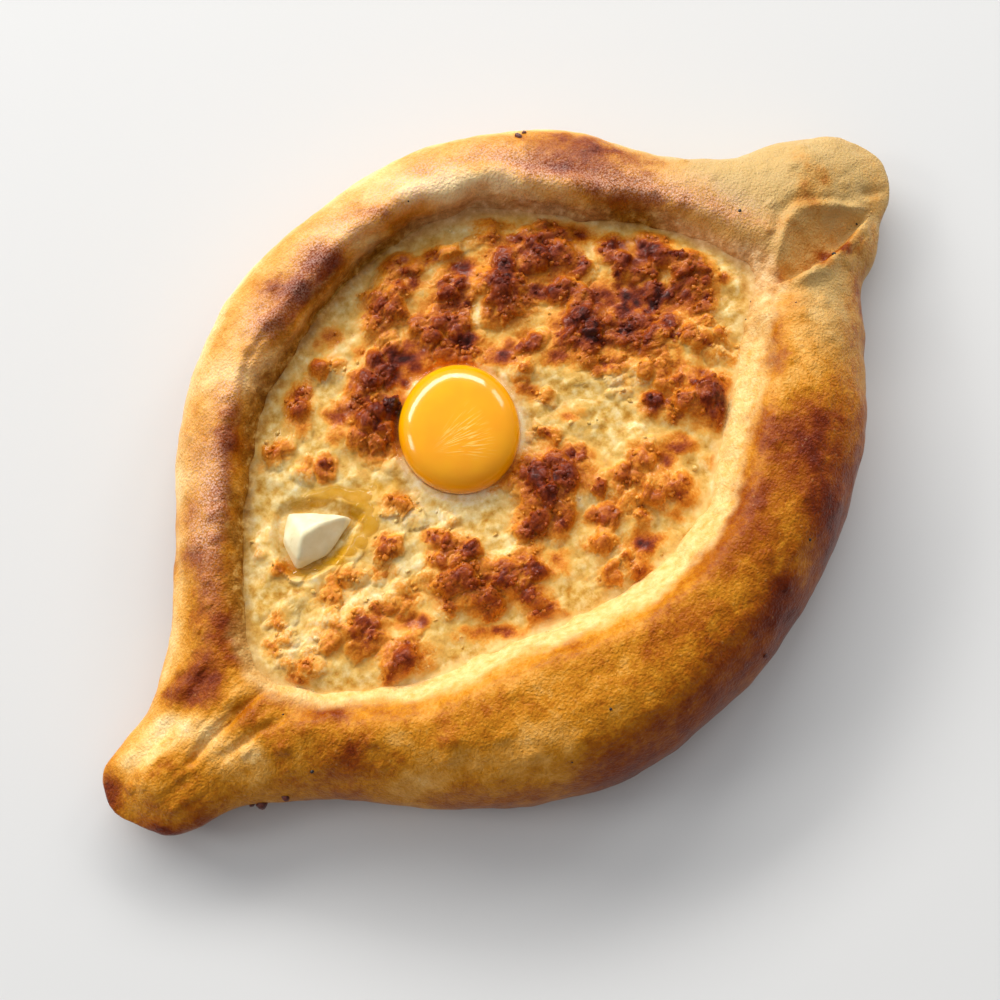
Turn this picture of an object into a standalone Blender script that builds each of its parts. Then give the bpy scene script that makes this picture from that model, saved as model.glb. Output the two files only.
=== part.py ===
"""An open cheese bread shaped like a boat: a puffed dough wall, rolled in from both sides and pinched
into two ends, round a bowl of browned cheese, with an egg yolk and a knob of butter on top.

Run with:  blender --background --python part.py
Units are metres and +Z is up. The origin is on the table, under the middle of the bread.
+X runs along the boat to its folded end and -X to its pinched nose. The wall on the +Y side is the
narrow one, and the wall on the -Y side is the fat one.

Every solid starts as a UV sphere. The sphere's rings become the stations of a cross-section and its
segments go round the boat, so a shape is one function that says where a ring and a segment lie.
"""

import math

import bmesh
import bpy
import numpy as np

MM = 0.001

# ---- Plan of the boat, in millimetres. Each list runs through the middle of one side. ----
NOSE_TIP = (-159, -11)
END_TIP = (159, -2)
OUTER_FAR = [(-152, 2), (-134, 8), (-116, 21), (-99, 41), (-76, 69), (-45, 93), (-8, 101.2), (30, 100),
             (63, 88), (87, 71), (101, 48), (118, 29), (137, 22), (154, 12)]
OUTER_NEAR = [(152, -14), (141, -21), (131, -28), (121, -32), (107, -48), (84, -71), (50, -90),
              (10, -100.8), (-32, -99.8), (-64, -87), (-91, -64), (-110, -45), (-130, -32), (-151, -25)]
INNER_NOSE = (-101, -8)
INNER_END = (95, -7)
INNER_FAR = [(-92, 14), (-75, 34), (-53, 56), (-24, 68), (8, 73), (40, 67), (64, 43), (84, 20)]
INNER_NEAR = [(81, -19), (51, -41), (27, -56), (-3, -59), (-37, -48), (-68, -39), (-91, -24)]

# ---- Heights along X, in millimetres: station, crest of the far wall, crest of the near wall. ----
CRESTS = [(-160, 13, 13), (-145, 21, 22), (-122, 25, 27), (-98, 30, 33), (-60, 35, 39), (0, 37, 42),
          (50, 38, 41), (85, 34, 37), (108, 31, 31), (130, 29, 26), (148, 24, 20), (160, 17, 15)]
BULGE_Z = 12.0          # height at which the outer wall is widest
FOOT_TUCK = 8.0         # how far the wall tucks in below its bulge
END_LIFT = 3.0          # how far the two ends stand off the table
OUTER_ROUND = (20.0, 25.0)   # depth of the rounded outer wall: far side, near side
INNER_SLOPE = (8.0, 14.0)    # depth of the slope down to the cheese: far side, near side
PUFF = 2.2              # exponent of the wall's rounding, where 2 is a circle

# ---- Filling ----
CHEESE_Z = 24.5         # level of the cheese
BOWL_FLOOR_Z = 8.0      # thickness of dough under the cheese
BOWL_ROUND = 14.0       # depth of the bowl's rounded corner
GAP = 0.35              # clearance between pieces that touch

# Mounds of curd that baked proud of the cheese: x, y, radius, height.
CURD_MOUNDS = [(49, 41, 13, 3.0), (31, 39, 11, 3.6), (20, 48, 8, 2.6), (5, 61, 10, 2.6), (7, 39, 10, 2.6),
               (-22, 42, 7, 2.2), (-28, 31, 9, 3.0), (43, 12, 11, 3.6), (65, 24, 8, 2.4),
               (77, 14, 8, 2.6), (78, 3, 9, 2.4), (57, -4, 11, 3.0), (68, -13, 8, 2.4),
               (55, -28, 10, 3.2), (0, -19, 11, 4.0), (20, -34, 9, 2.2), (29, -45, 7, 1.8),
               (-24, -34, 9, 3.0), (-37, -26, 12, 2.6), (-73, -13, 10, 3.2), (-67, -30, 7, 2.4),
               (-91, -5, 6, 1.6), (-41, 50, 6, 2.2), (-28, 55, 5, 2.2)]

# ---- The fold at the +X end: x, the lip on the far side, the lip on the near side ----
FOLD_LIPS = [(93, -12, -15), (99, -10, -18), (105, -6, -19.5), (113, -1, -20), (123, 3, -19),
             (131, 1, -18), (138, -5, -16), (144, -11, -12)]
FOLD_DEPTH = 8.5        # how far the fold is hollowed
LIP_SLOPE = 9.0         # width of the fold's sides

# ---- Egg yolk and butter ----
YOLK = dict(x=-9.5, y=12.0, z=27.5, long=20.0, wide=18.5, up=8.0, down=8.0, turn=50.0)
BUTTER_FOOT_Z = 24.0
# The carved wedge's corners: x, y, height above its foot.
BUTTER = [(-65, 26, 0), (-72, 20, 0), (-74, 10.5, 0), (-64, 8, 0), (-56, 10.5, 0), (-51, 12, 0), (-52, 13, 2.6),
          (-60, 15.5, 7.0), (-66.5, 16, 8.0), (-72, 11.5, 5.0), (-71, 20, 3.0), (-65, 25, 2.4), (-58, 19, 3.6)]

SEGMENTS = 92           # round the crust
CHEESE_SEGMENTS = 72    # round the cheese
CROWDING = 0.11         # how much closer the segments stand at the two ends

COLOURS = {
    "dough_crust": (0.62, 0.33, 0.10, 1, 0.45),
    "cheese_filling": (0.80, 0.60, 0.28, 1, 0.40),
    "egg_yolk": (0.90, 0.40, 0.01, 1, 0.12),
    "butter_knob": (0.92, 0.86, 0.66, 1, 0.35),
}


# ---- Small helpers ----
def smooth_loop(points, per_stretch=24):
    """A smooth closed curve through the points, with slopes scaled to the uneven stretches."""
    p = np.array(points, float)
    after = np.roll(p, -1, 0)
    chord = np.linalg.norm(after - p, axis=1)[:, None]
    slope = (after - np.roll(p, 1, 0)) / (chord + np.roll(chord, 1, 0))
    leave = (slope * chord)[:, None]
    arrive = (np.roll(slope, -1, 0) * chord)[:, None]
    t = (np.arange(per_stretch) / per_stretch)[None, :, None]
    curve = (
        p[:, None] * (2 * t**3 - 3 * t**2 + 1)
        + leave * (t**3 - 2 * t**2 + t)
        + after[:, None] * (3 * t**2 - 2 * t**3)
        + arrive * (t**3 - t**2)
    )
    return curve.reshape(-1, 2)


def along(curve, shares):
    """Points at the given shares of an open curve's length."""
    run = np.concatenate([[0], np.cumsum(np.linalg.norm(np.diff(curve, axis=0), axis=1))])
    return np.stack([np.interp(shares * run[-1], run, curve[:, i]) for i in (0, 1)], 1)


def stations(nose, far, end, near, count):
    """count points round a loop: nose to end on the far side, then back on the near side."""
    loop = smooth_loop([nose, *far, end, *near])
    turn = 24 * (len(far) + 1)
    u = np.arange(count // 2) / (count // 2)
    shares = u - CROWDING * np.sin(2 * math.pi * u)
    there = along(loop[: turn + 1], shares)
    back = along(np.vstack([loop[turn:], loop[:1]]), shares)
    return np.vstack([there, back]), loop


def distance(points, loop):
    """Distance from each point to the nearest stretch of a closed loop."""
    a, b = loop, np.roll(loop, -1, 0)
    ab = b - a
    ap = points[:, None] - a[None]
    share = np.clip((ap * ab).sum(2) / (ab * ab).sum(1), 0, 1)
    return np.linalg.norm(ap - share[..., None] * ab, axis=2).min(1)


def smoothstep(low, high, value):
    t = np.clip((value - low) / (high - low), 0, 1)
    return t * t * (3 - 2 * t)


def swell(depth, reach):
    """0 at the edge and 1 from reach inwards, rounded like the side of a roll of dough."""
    u = 1 - np.clip(depth / reach, 0, 1)
    return (1 - u**PUFF) ** (1 / PUFF)


def mound(x, y, cx, cy, radius, height):
    """A soft dome."""
    return height * np.exp(-((x - cx) ** 2 + (y - cy) ** 2) / (0.5 * radius**2))


def crease(x, y, start, end, width, depth):
    """A rounded groove along a straight line from start to end."""
    a, b = np.array(start, float), np.array(end, float)
    p = np.stack([x, y], -1) - a
    ab = b - a
    share = np.clip((p @ ab) / (ab @ ab), 0, 1)
    off = np.linalg.norm(p - share[..., None] * ab, axis=-1)
    return -depth * np.exp(-((off / width) ** 2))


# ---- The dough's heights ----
def crest_height(x, y):
    at, far, near = np.array(CRESTS, float).T
    side = smoothstep(-24, 24, y)
    return np.interp(x, at, far) * side + np.interp(x, at, near) * (1 - side)


def folded_end(x, y):
    """The +X end: the far wall's lobe laid over the near one, with an open fold between them."""
    at, far, near = np.array(FOLD_LIPS, float).T
    far_lip = np.interp(x, at, far)
    near_lip = np.interp(x, at, near)
    inside = np.minimum(far_lip - y, y - near_lip)
    open_here = smoothstep(at[0] - 2, at[0] + 8, x) * smoothstep(at[-1] + 2, at[-1] - 8, x)
    hollow = -FOLD_DEPTH * smoothstep(0, LIP_SLOPE, inside) * open_here
    rolled = 2.0 * np.exp(-((inside / 3.5) ** 2)) * open_here
    lobe = mound(x, y, 133, 9, 13, 2.5) + mound(x, y, 100, -36, 12, 1.5)
    return hollow + rolled + lobe + crease(x, y, (158, -14), (146, -11), 3, 4)


def pinched_nose(x, y):
    """The -X end: grooves that run from the cheese to the tip, where the dough was twisted."""
    return (
        crease(x, y, (-102, -10), (-134, -13), 3.5, 4)
        + crease(x, y, (-112, 2), (-150, -4), 3, 2)
        + crease(x, y, (-104, -22), (-122, -20), 3, 2)
        + mound(x, y, -148, -13, 10, 2)
    )


def dough_top(points, outer_loop, inner_loop):
    """Height of the dough between its outer bulge and the cheese."""
    x, y = points.T
    side = smoothstep(-24, 24, y)
    outer_reach = OUTER_ROUND[0] * side + OUTER_ROUND[1] * (1 - side)
    inner_reach = INNER_SLOPE[0] * side + INNER_SLOPE[1] * (1 - side)
    rise = swell(distance(points, outer_loop), outer_reach)
    fall = np.sin(math.pi / 2 * np.clip(distance(points, inner_loop) / inner_reach, 0, 1))
    crest = crest_height(x, y) + folded_end(x, y) * rise + pinched_nose(x, y) * rise
    wall = BULGE_Z + (crest - BULGE_Z) * rise
    return CHEESE_Z + (wall - CHEESE_Z) * np.where(wall > CHEESE_Z, fall, smoothstep(0, 0.4, fall))


def lift(x):
    """The base is flat, and rises a little under the nose and the folded end."""
    return END_LIFT * smoothstep(112, 156, np.abs(x))


# ---- The filling's heights ----
def bowl(depth):
    """Height of the bowl's lining at a distance in from its edge."""
    return CHEESE_Z - (CHEESE_Z - BOWL_FLOOR_Z) * swell(depth, BOWL_ROUND)


def yolk_radius(x, y):
    """0 at the yolk's middle and 1 at its widest outline."""
    turn = math.radians(YOLK["turn"])
    dx, dy = x - YOLK["x"], y - YOLK["y"]
    u = (dx * math.cos(turn) + dy * math.sin(turn)) / YOLK["long"]
    v = (dy * math.cos(turn) - dx * math.sin(turn)) / YOLK["wide"]
    return np.hypot(u, v)


def beyond_butter(x, y):
    """Distance outside the knob of butter's foot, and 0 on it."""
    foot = smooth_loop([corner[:2] for corner in BUTTER[:6]], 4)
    places = np.stack([np.ravel(x), np.ravel(y)], 1)
    middle = foot.mean(0)
    near = distance(places, foot)
    angle = np.arctan2(*(foot - middle).T[::-1])
    order = np.argsort(angle)
    reach = np.linalg.norm(foot - middle, axis=1)
    towards = np.arctan2(*(places - middle).T[::-1])
    edge = np.interp(towards, angle[order], reach[order], period=2 * math.pi)
    return np.where(np.linalg.norm(places - middle, axis=1) < edge, 0, near).reshape(np.shape(x))


def cheese_top(x, y, depth):
    """Level of the cheese, its curd mounds, and the seats that the yolk and the butter press into it."""
    level = CHEESE_Z + 1.5 * smoothstep(0, 16, depth)
    for cx, cy, radius, height in CURD_MOUNDS:
        level = level + mound(x, y, cx, cy, radius, height) * smoothstep(0, 6, depth)
    rho = yolk_radius(x, y)
    under = YOLK["z"] - YOLK["down"] * np.sqrt(np.clip(1 - rho**2, 0, 1)) - 2 * GAP
    seat = under + 14 * np.clip(rho - 1, 0, 1)
    level = np.minimum(level, seat)
    return np.minimum(level, BUTTER_FOOT_Z - GAP + 0.8 * np.clip(beyond_butter(x, y) - 1, 0, 20))


# ---- Solids ----
def moulded(name, rings, segments, place):
    """A closed solid from a UV sphere whose vertex (ring, segment) is moved to place[ring][segment]."""
    mesh = bpy.data.meshes.new(name)
    body = bmesh.new()
    bmesh.ops.create_uvsphere(body, u_segments=segments, v_segments=rings, radius=1)
    for vert in body.verts:
        ring = round(math.acos(max(-1, min(1, vert.co.z))) / math.pi * rings)
        segment = round(math.atan2(vert.co.y, vert.co.x) / (2 * math.pi) * segments) % segments
        vert.co = place[ring][segment] * MM
    bmesh.ops.recalc_face_normals(body, faces=body.faces)
    body.to_mesh(mesh)
    body.free()
    mesh.shade_smooth()
    return finished(name, mesh)


def finished(name, mesh):
    """Puts the mesh in the bread's collection with its own material."""
    red, green, blue, alpha, roughness = COLOURS[name]
    material = bpy.data.materials.new(name)
    material.use_nodes = True
    shader = material.node_tree.nodes["Principled BSDF"]
    shader.inputs["Base Color"].default_value = (red, green, blue, alpha)
    shader.inputs["Roughness"].default_value = roughness
    shader.inputs["Metallic"].default_value = 0.0
    mesh.materials.append(material)
    solid = bpy.data.objects.new(name, mesh)
    bpy.data.collections["khachapuri"].objects.link(solid)
    return solid


def ring_at(xy, z):
    """A ring of points: places in plan with one height, or a height each."""
    return np.column_stack([xy, np.broadcast_to(z, len(xy))])


def inset(ring, depth):
    """A loop of points moved inwards by depth, square to the loop."""
    tangent = np.roll(ring, -1, 0) - np.roll(ring, 1, 0)
    tangent /= np.linalg.norm(tangent, axis=1)[:, None]
    return ring + depth * np.stack([tangent[:, 1], -tangent[:, 0]], 1)


def shrunk(ring, share):
    """A loop drawn towards its own middle."""
    middle = ring.mean(0)
    return middle + (ring - middle) * share


def make_crust():
    outer, outer_loop = stations(NOSE_TIP, OUTER_FAR, END_TIP, OUTER_NEAR, SEGMENTS)
    inner, inner_loop = stations(INNER_NOSE, INNER_FAR, INNER_END, INNER_NEAR, SEGMENTS)
    floor = inset(inner, BOWL_ROUND)
    foot = inset(outer, FOOT_TUCK)
    rings = [ring_at(shrunk(floor, share), BOWL_FLOOR_Z) for share in (0, 0.35, 0.7)]
    for depth in (BOWL_ROUND, 9, 5, 2, 0.6):
        rings.append(ring_at(inset(inner, depth), bowl(depth)))
    rings.append(ring_at(inner, CHEESE_Z))
    across = 17
    for step in range(1, across):
        share = (1 - math.cos(math.pi * step / across)) / 2
        line = inner + (outer - inner) * share
        rings.append(ring_at(line, dough_top(line, outer_loop, inner_loop)))
    rings.append(ring_at(outer, BULGE_Z))
    for angle in (30, 60, 90):
        turn = math.radians(angle)
        line = outer + (foot - outer) * (1 - math.cos(turn))
        low = lift(line[:, 0])
        rings.append(ring_at(line, low + (BULGE_Z - low) * (1 - math.sin(turn))))
    for share in (0.75, 0.4, 0):
        line = shrunk(foot, share)
        rings.append(ring_at(line, lift(line[:, 0])))
    return moulded("dough_crust", len(rings) - 1, SEGMENTS, rings)


def make_cheese():
    inner, inner_loop = stations(INNER_NOSE, INNER_FAR, INNER_END, INNER_NEAR, CHEESE_SEGMENTS)
    edge = inset(inner, GAP + 0.8)
    middle = np.array([YOLK["x"], YOLK["y"]])
    spoke = edge - middle
    seat = spoke / yolk_radius(*edge.T)[:, None]
    rings = []
    for rho in (0, 0.45, 0.75, 0.92, 1.0, 1.1):
        line = middle + seat * rho
        rings.append(ring_at(line, cheese_top(line[:, 0], line[:, 1], distance(line, inner_loop))))
    for share in (0.07, 0.16, 0.26, 0.36, 0.46, 0.56, 0.66, 0.76, 0.86, 0.95, 1):
        line = middle + seat * 1.1 + (spoke - seat * 1.1) * share
        rings.append(ring_at(line, cheese_top(line[:, 0], line[:, 1], distance(line, inner_loop))))
    for depth in (2, 5, 9, BOWL_ROUND + 1):
        line = inset(inner, depth + GAP)
        rings.append(ring_at(line, bowl(depth - 0.2) + GAP))
    floor = inset(inner, BOWL_ROUND + 1 + GAP)
    rings += [ring_at(shrunk(floor, share), BOWL_FLOOR_Z + GAP) for share in (0.6, 0)]
    return moulded("cheese_filling", len(rings) - 1, CHEESE_SEGMENTS, rings)


def make_yolk():
    """An egg-shaped drop: a high dome above its widest line and a shallow one below."""
    rings, segments = 10, 28
    turn = math.radians(YOLK["turn"])
    place = []
    for ring in range(rings + 1):
        fall = math.pi * ring / rings
        angle = 2 * math.pi * np.arange(segments) / segments
        u = YOLK["long"] * math.sin(fall) * np.cos(angle)
        v = YOLK["wide"] * math.sin(fall) * np.sin(angle)
        height = YOLK["up"] if ring < rings / 2 else YOLK["down"]
        x = YOLK["x"] + u * math.cos(turn) - v * math.sin(turn)
        y = YOLK["y"] + u * math.sin(turn) + v * math.cos(turn)
        place.append(ring_at(np.stack([x, y], 1), YOLK["z"] + height * math.cos(fall)))
    return moulded("egg_yolk", rings, segments, place)


def make_butter():
    """A knob carved off the block: the hull of its corners, with soft edges."""
    mesh = bpy.data.meshes.new("butter_knob")
    body = bmesh.new()
    for x, y, height in BUTTER:
        body.verts.new((x * MM, y * MM, (BUTTER_FOOT_Z + height) * MM))
    hull = bmesh.ops.convex_hull(body, input=body.verts)
    bmesh.ops.delete(body, geom=hull["geom_interior"], context="VERTS")
    bmesh.ops.recalc_face_normals(body, faces=body.faces)
    body.to_mesh(mesh)
    body.free()
    knob = finished("butter_knob", mesh)
    soft = knob.modifiers.new("soft_edges", "BEVEL")
    soft.width = 0.8 * MM
    soft.segments = 2
    soft.limit_method = "ANGLE"
    soft.angle_limit = math.radians(12)
    return knob


def main():
    for old in list(bpy.data.objects):
        bpy.data.objects.remove(old)
    bpy.context.scene.collection.children.link(bpy.data.collections.new("khachapuri"))
    make_crust()
    make_cheese()
    make_yolk()
    make_butter()


main()
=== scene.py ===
# %% [markdown]
# # An open cheese bread with an egg and a knob of butter
# This bread is a flat piece of dough whose two long sides are rolled in and pinched at both ends, so
# that it looks like a boat. Grated cheese fills the boat. It bakes until its crumbs blister brown. A raw
# yolk and a knob of butter go on top at the end.
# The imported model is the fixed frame: everything below is made in metres, where the frame says.

# %% Load the frame
import math

import bmesh
import bpy
import numpy as np
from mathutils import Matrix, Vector


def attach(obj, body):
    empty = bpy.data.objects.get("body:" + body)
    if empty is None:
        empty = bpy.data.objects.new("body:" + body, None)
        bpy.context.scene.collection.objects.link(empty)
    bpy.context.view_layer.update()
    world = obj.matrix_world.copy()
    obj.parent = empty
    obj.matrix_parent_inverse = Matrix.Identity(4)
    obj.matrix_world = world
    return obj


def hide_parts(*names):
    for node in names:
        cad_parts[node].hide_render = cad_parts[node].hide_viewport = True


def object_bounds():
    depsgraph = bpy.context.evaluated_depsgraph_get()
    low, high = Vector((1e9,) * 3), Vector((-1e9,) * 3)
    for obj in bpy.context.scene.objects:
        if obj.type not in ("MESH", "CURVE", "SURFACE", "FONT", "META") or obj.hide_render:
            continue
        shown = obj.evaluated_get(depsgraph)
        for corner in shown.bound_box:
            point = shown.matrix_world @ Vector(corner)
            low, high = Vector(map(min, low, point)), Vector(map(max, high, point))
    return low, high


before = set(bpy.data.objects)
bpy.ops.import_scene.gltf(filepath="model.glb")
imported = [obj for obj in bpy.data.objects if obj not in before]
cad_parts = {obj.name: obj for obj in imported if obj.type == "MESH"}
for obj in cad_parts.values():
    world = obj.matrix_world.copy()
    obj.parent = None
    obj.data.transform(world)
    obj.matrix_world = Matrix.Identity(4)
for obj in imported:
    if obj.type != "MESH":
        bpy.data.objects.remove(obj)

SOLID_LOW, SOLID_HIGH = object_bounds()
MM = 0.001
print("frame box, mm:", [round(v / MM, 1) for v in (*SOLID_LOW, *SOLID_HIGH)])

# %% [markdown]
# ## The camera
# The bread is seen from above, a little from the side of its fat wall, with the folded end away to the
# right. A camera can be turned by hand, but three numbers say it more clearly: how high it stands, how
# far round, and how far away. It then looks at one point on the bread.

# %% Camera
CAMERA_HEIGHT = math.radians(75)
CAMERA_ROUND = math.radians(-40.4)
CAMERA_AWAY = 0.450
LOOK_AT = Vector((-0.0128, -0.0108, 0.018))

away = Vector((math.sin(CAMERA_ROUND) * math.cos(CAMERA_HEIGHT),
               -math.cos(CAMERA_ROUND) * math.cos(CAMERA_HEIGHT),
               math.sin(CAMERA_HEIGHT)))
camera_data = bpy.data.cameras.new("camera")
camera_data.sensor_width = 36.0
camera_data.lens = 53.1
camera_data.clip_start = 0.01
camera = bpy.data.objects.new("camera", camera_data)
camera.location = LOOK_AT + away * CAMERA_AWAY
camera.rotation_euler = (-away).to_track_quat("-Z", "Y").to_euler()
bpy.context.scene.collection.objects.link(camera)
bpy.context.scene.camera = camera
bpy.context.scene.view_settings.view_transform = "Standard"
print("camera at, mm:", [round(v / MM) for v in camera.location])

# %% [markdown]
# ## The plan of the boat
# Seen from above, the bread has an outer outline and an inner one where the dough meets the cheese.
# Both are smooth closed curves through a few points. They follow the solid's outlines to within a few
# millimetres and stay inside its box, so the dressed bread keeps its size. A Bezier curve drawn by hand
# would do as well, but a list of places is easier to read and to correct.

# %% Outlines, in millimetres
NOSE_TIP = (-159, -9)
END_TIP = (159, -2)
OUTER_FAR = [(-155, 2.4), (-145, 5.8), (-134, 8.6), (-116, 21), (-99, 41), (-76, 68.5), (-45, 91.5),
             (-8, 99.6), (30, 97.6), (61.5, 85.6), (85.5, 69), (99.6, 47.4), (117.5, 29), (137, 22),
             (154, 12)]
OUTER_NEAR = [(152, -14), (141, -21), (131, -28), (121, -32), (107, -48), (84, -71), (50, -90),
              (10, -100.8), (-32, -99.8), (-64, -87), (-91, -64), (-110, -45), (-130, -31.6), (-150, -24.8)]
INNER_NOSE = (-101, -8)
INNER_END = (95, -7)
INNER_FAR = [(-92, 14), (-75, 34), (-53, 56), (-24, 68), (8, 73), (40, 67), (64, 43), (84, 20)]
INNER_NEAR = [(81, -19), (51, -41), (27, -56), (-3, -59), (-37, -48), (-68, -39), (-91, -24)]
PER_STRETCH = 24        # points of the smooth curve between two places of a list


def smooth_loop(points, per_stretch=PER_STRETCH):
    """A smooth closed curve through the points, with slopes scaled to the uneven stretches."""
    p = np.array(points, float)
    after = np.roll(p, -1, 0)
    chord = np.linalg.norm(after - p, axis=1)[:, None]
    slope = (after - np.roll(p, 1, 0)) / (chord + np.roll(chord, 1, 0))
    leave = (slope * chord)[:, None]
    arrive = (np.roll(slope, -1, 0) * chord)[:, None]
    t = (np.arange(per_stretch) / per_stretch)[None, :, None]
    curve = (
        p[:, None] * (2 * t**3 - 3 * t**2 + 1)
        + leave * (t**3 - 2 * t**2 + t)
        + after[:, None] * (3 * t**2 - 2 * t**3)
        + arrive * (t**3 - t**2)
    )
    return curve.reshape(-1, 2)


print("places on the outer outline:", len(OUTER_FAR) + len(OUTER_NEAR) + 2)

# %% [markdown]
# ## Stations round the boat
# The surface will be lofted between the two outlines, so both are cut into the same number of stations,
# which pair up. They are crowded at the two pointed ends, where the outline turns fastest. The helpers
# below measure along a curve and from a place to a curve, and draw a curve inwards.

# %% Stations
SEGMENTS = 960          # stations round the crust
CROWDING = 0.11         # how much closer the stations stand at the two ends
MEASURED_EVERY = 3      # every third point of an outline is enough to measure distances from


def along(curve, shares):
    """Points at the given shares of an open curve's length."""
    run = np.concatenate([[0], np.cumsum(np.linalg.norm(np.diff(curve, axis=0), axis=1))])
    return np.stack([np.interp(shares * run[-1], run, curve[:, i]) for i in (0, 1)], 1)


def stations(nose, far, end, near, count):
    """count points round a loop: nose to end on the far side, then back on the near side."""
    loop = smooth_loop([nose, *far, end, *near])
    turn = PER_STRETCH * (len(far) + 1)
    u = np.arange(count // 2) / (count // 2)
    shares = u - CROWDING * np.sin(2 * math.pi * u)
    there = along(loop[: turn + 1], shares)
    back = along(np.vstack([loop[turn:], loop[:1]]), shares)
    return np.vstack([there, back]), loop


def distance(points, loop):
    """Distance from each point to the nearest stretch of a closed loop."""
    a, b = loop, np.roll(loop, -1, 0)
    ab = b - a
    nearest = np.full(len(points), np.inf)
    for start, step in zip(a, ab):
        share = np.clip(((points - start) @ step) / (step @ step), 0, 1)
        gap = points - start - share[:, None] * step
        nearest = np.minimum(nearest, (gap * gap).sum(1))
    return np.sqrt(nearest)


def smoothstep(low, high, value):
    """0 up to low, 1 from high on, and a soft climb between. It falls instead where low is the larger."""
    t = np.clip((value - low) / (high - low), 0, 1)
    return t * t * (3 - 2 * t)


def inset(ring, depth):
    """A loop of points moved inwards by depth, square to the loop."""
    tangent = np.roll(ring, -1, 0) - np.roll(ring, 1, 0)
    tangent /= np.linalg.norm(tangent, axis=1)[:, None]
    return ring + depth * np.stack([tangent[:, 1], -tangent[:, 0]], 1)


def shrunk(ring, share):
    """A loop drawn towards its own middle."""
    middle = ring.mean(0)
    return middle + (ring - middle) * share


outer, outer_loop = stations(NOSE_TIP, OUTER_FAR, END_TIP, OUTER_NEAR, SEGMENTS)
inner, inner_loop = stations(INNER_NOSE, INNER_FAR, INNER_END, INNER_NEAR, SEGMENTS)
outer_loop = outer_loop[::MEASURED_EVERY]
inner_loop = inner_loop[::MEASURED_EVERY]
print("widest wall, mm:", round(float(np.linalg.norm(outer - inner, axis=1).max()), 1))

# %% [markdown]
# ## The height of the dough
# From the outer edge the wall swells up like the side of a roll, and from its crest it slopes down to
# the cheese. The crest climbs from the two ends to the middle, and the near wall is fatter than the far
# one. A sculpted mesh could have this shape too, but here all of it is one function of the place in
# plan, so that creases and folds are simply added to it.

# %% Sizes of the wall, and its building blocks
# Station along X, crest of the far wall, crest of the near wall.
CRESTS = [(-160, 13, 13), (-145, 21, 22), (-122, 25, 27), (-98, 30, 33), (-60, 35, 39), (0, 37, 42),
          (50, 38, 41), (85, 34, 37), (108, 31, 31), (130, 29, 26), (148, 24, 20), (160, 17, 15)]
BULGE_Z = 12.0          # height at which the outer wall is widest
FOOT_TUCK = 8.0         # how far the wall tucks in below its bulge
END_LIFT = 3.0          # how far the two ends stand off the table
OUTER_ROUND = (20.0, 25.0)   # depth of the rounded outer wall: far side, near side
INNER_SLOPE = (8.0, 14.0)    # depth of the slope down to the cheese: far side, near side
PUFF = 2.2              # exponent of the wall's rounding, where 2 is a circle
CHEESE_Z = 24.5         # level of the cheese where it meets the dough
BOWL_FLOOR_Z = 8.0      # level of the dough under the filling
BOWL_ROUND = 14.0       # how far in from its edge the bowl's lining is rounded
GAP = 0.35              # air between pieces that touch, so that no faces coincide


def swell(depth, reach):
    """0 at the edge and 1 from reach inwards, rounded like the side of a roll of dough."""
    u = 1 - np.clip(depth / reach, 0, 1)
    return (1 - u**PUFF) ** (1 / PUFF)


def mound(x, y, cx, cy, radius, height):
    """A soft dome."""
    return height * np.exp(-((x - cx) ** 2 + (y - cy) ** 2) / (0.5 * radius**2))


def crease(x, y, start, end, width, depth):
    """A rounded groove along a straight line from start to end."""
    a, b = np.array(start, float), np.array(end, float)
    p = np.stack([x, y], -1) - a
    ab = b - a
    share = np.clip((p @ ab) / (ab @ ab), 0, 1)
    off = np.linalg.norm(p - share[..., None] * ab, axis=-1)
    return -depth * np.exp(-((off / width) ** 2))


def far_side(y):
    """1 on the far side, 0 on the near side, and a blend of the two round the middle line."""
    return smoothstep(-24, 24, y)


def crest_height(x, y):
    """How high the wall's crest stands at each place."""
    at, far, near = np.array(CRESTS, float).T
    side = far_side(y)
    return np.interp(x, at, far) * side + np.interp(x, at, near) * (1 - side)


print("highest crest, mm:", max(near for _, _, near in CRESTS))

# %% [markdown]
# ## The two ends
# At the +X end the far wall is laid over the near wall and leaves an open fold, a hollow between two
# lips. At the other end the dough is pinched and twisted to a nose, which leaves grooves. A fold could
# be modelled as two overlapping sheets. As seen from outside, a hollow with rolled lips is the same,
# and it keeps the crust one closed piece.

# %% The folded end and the pinched nose
# The fold at the +X end: x, the lip on the far side, the lip on the near side.
FOLD_LIPS = [(93, -13, -15), (99, -11.5, -18), (105, -8, -19.5), (112, -3.5, -20), (120, -3, -19.5),
             (127, -6.5, -18.5), (134, -12, -17), (141, -14, -15)]
FOLD_DEPTH = 8.5


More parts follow.
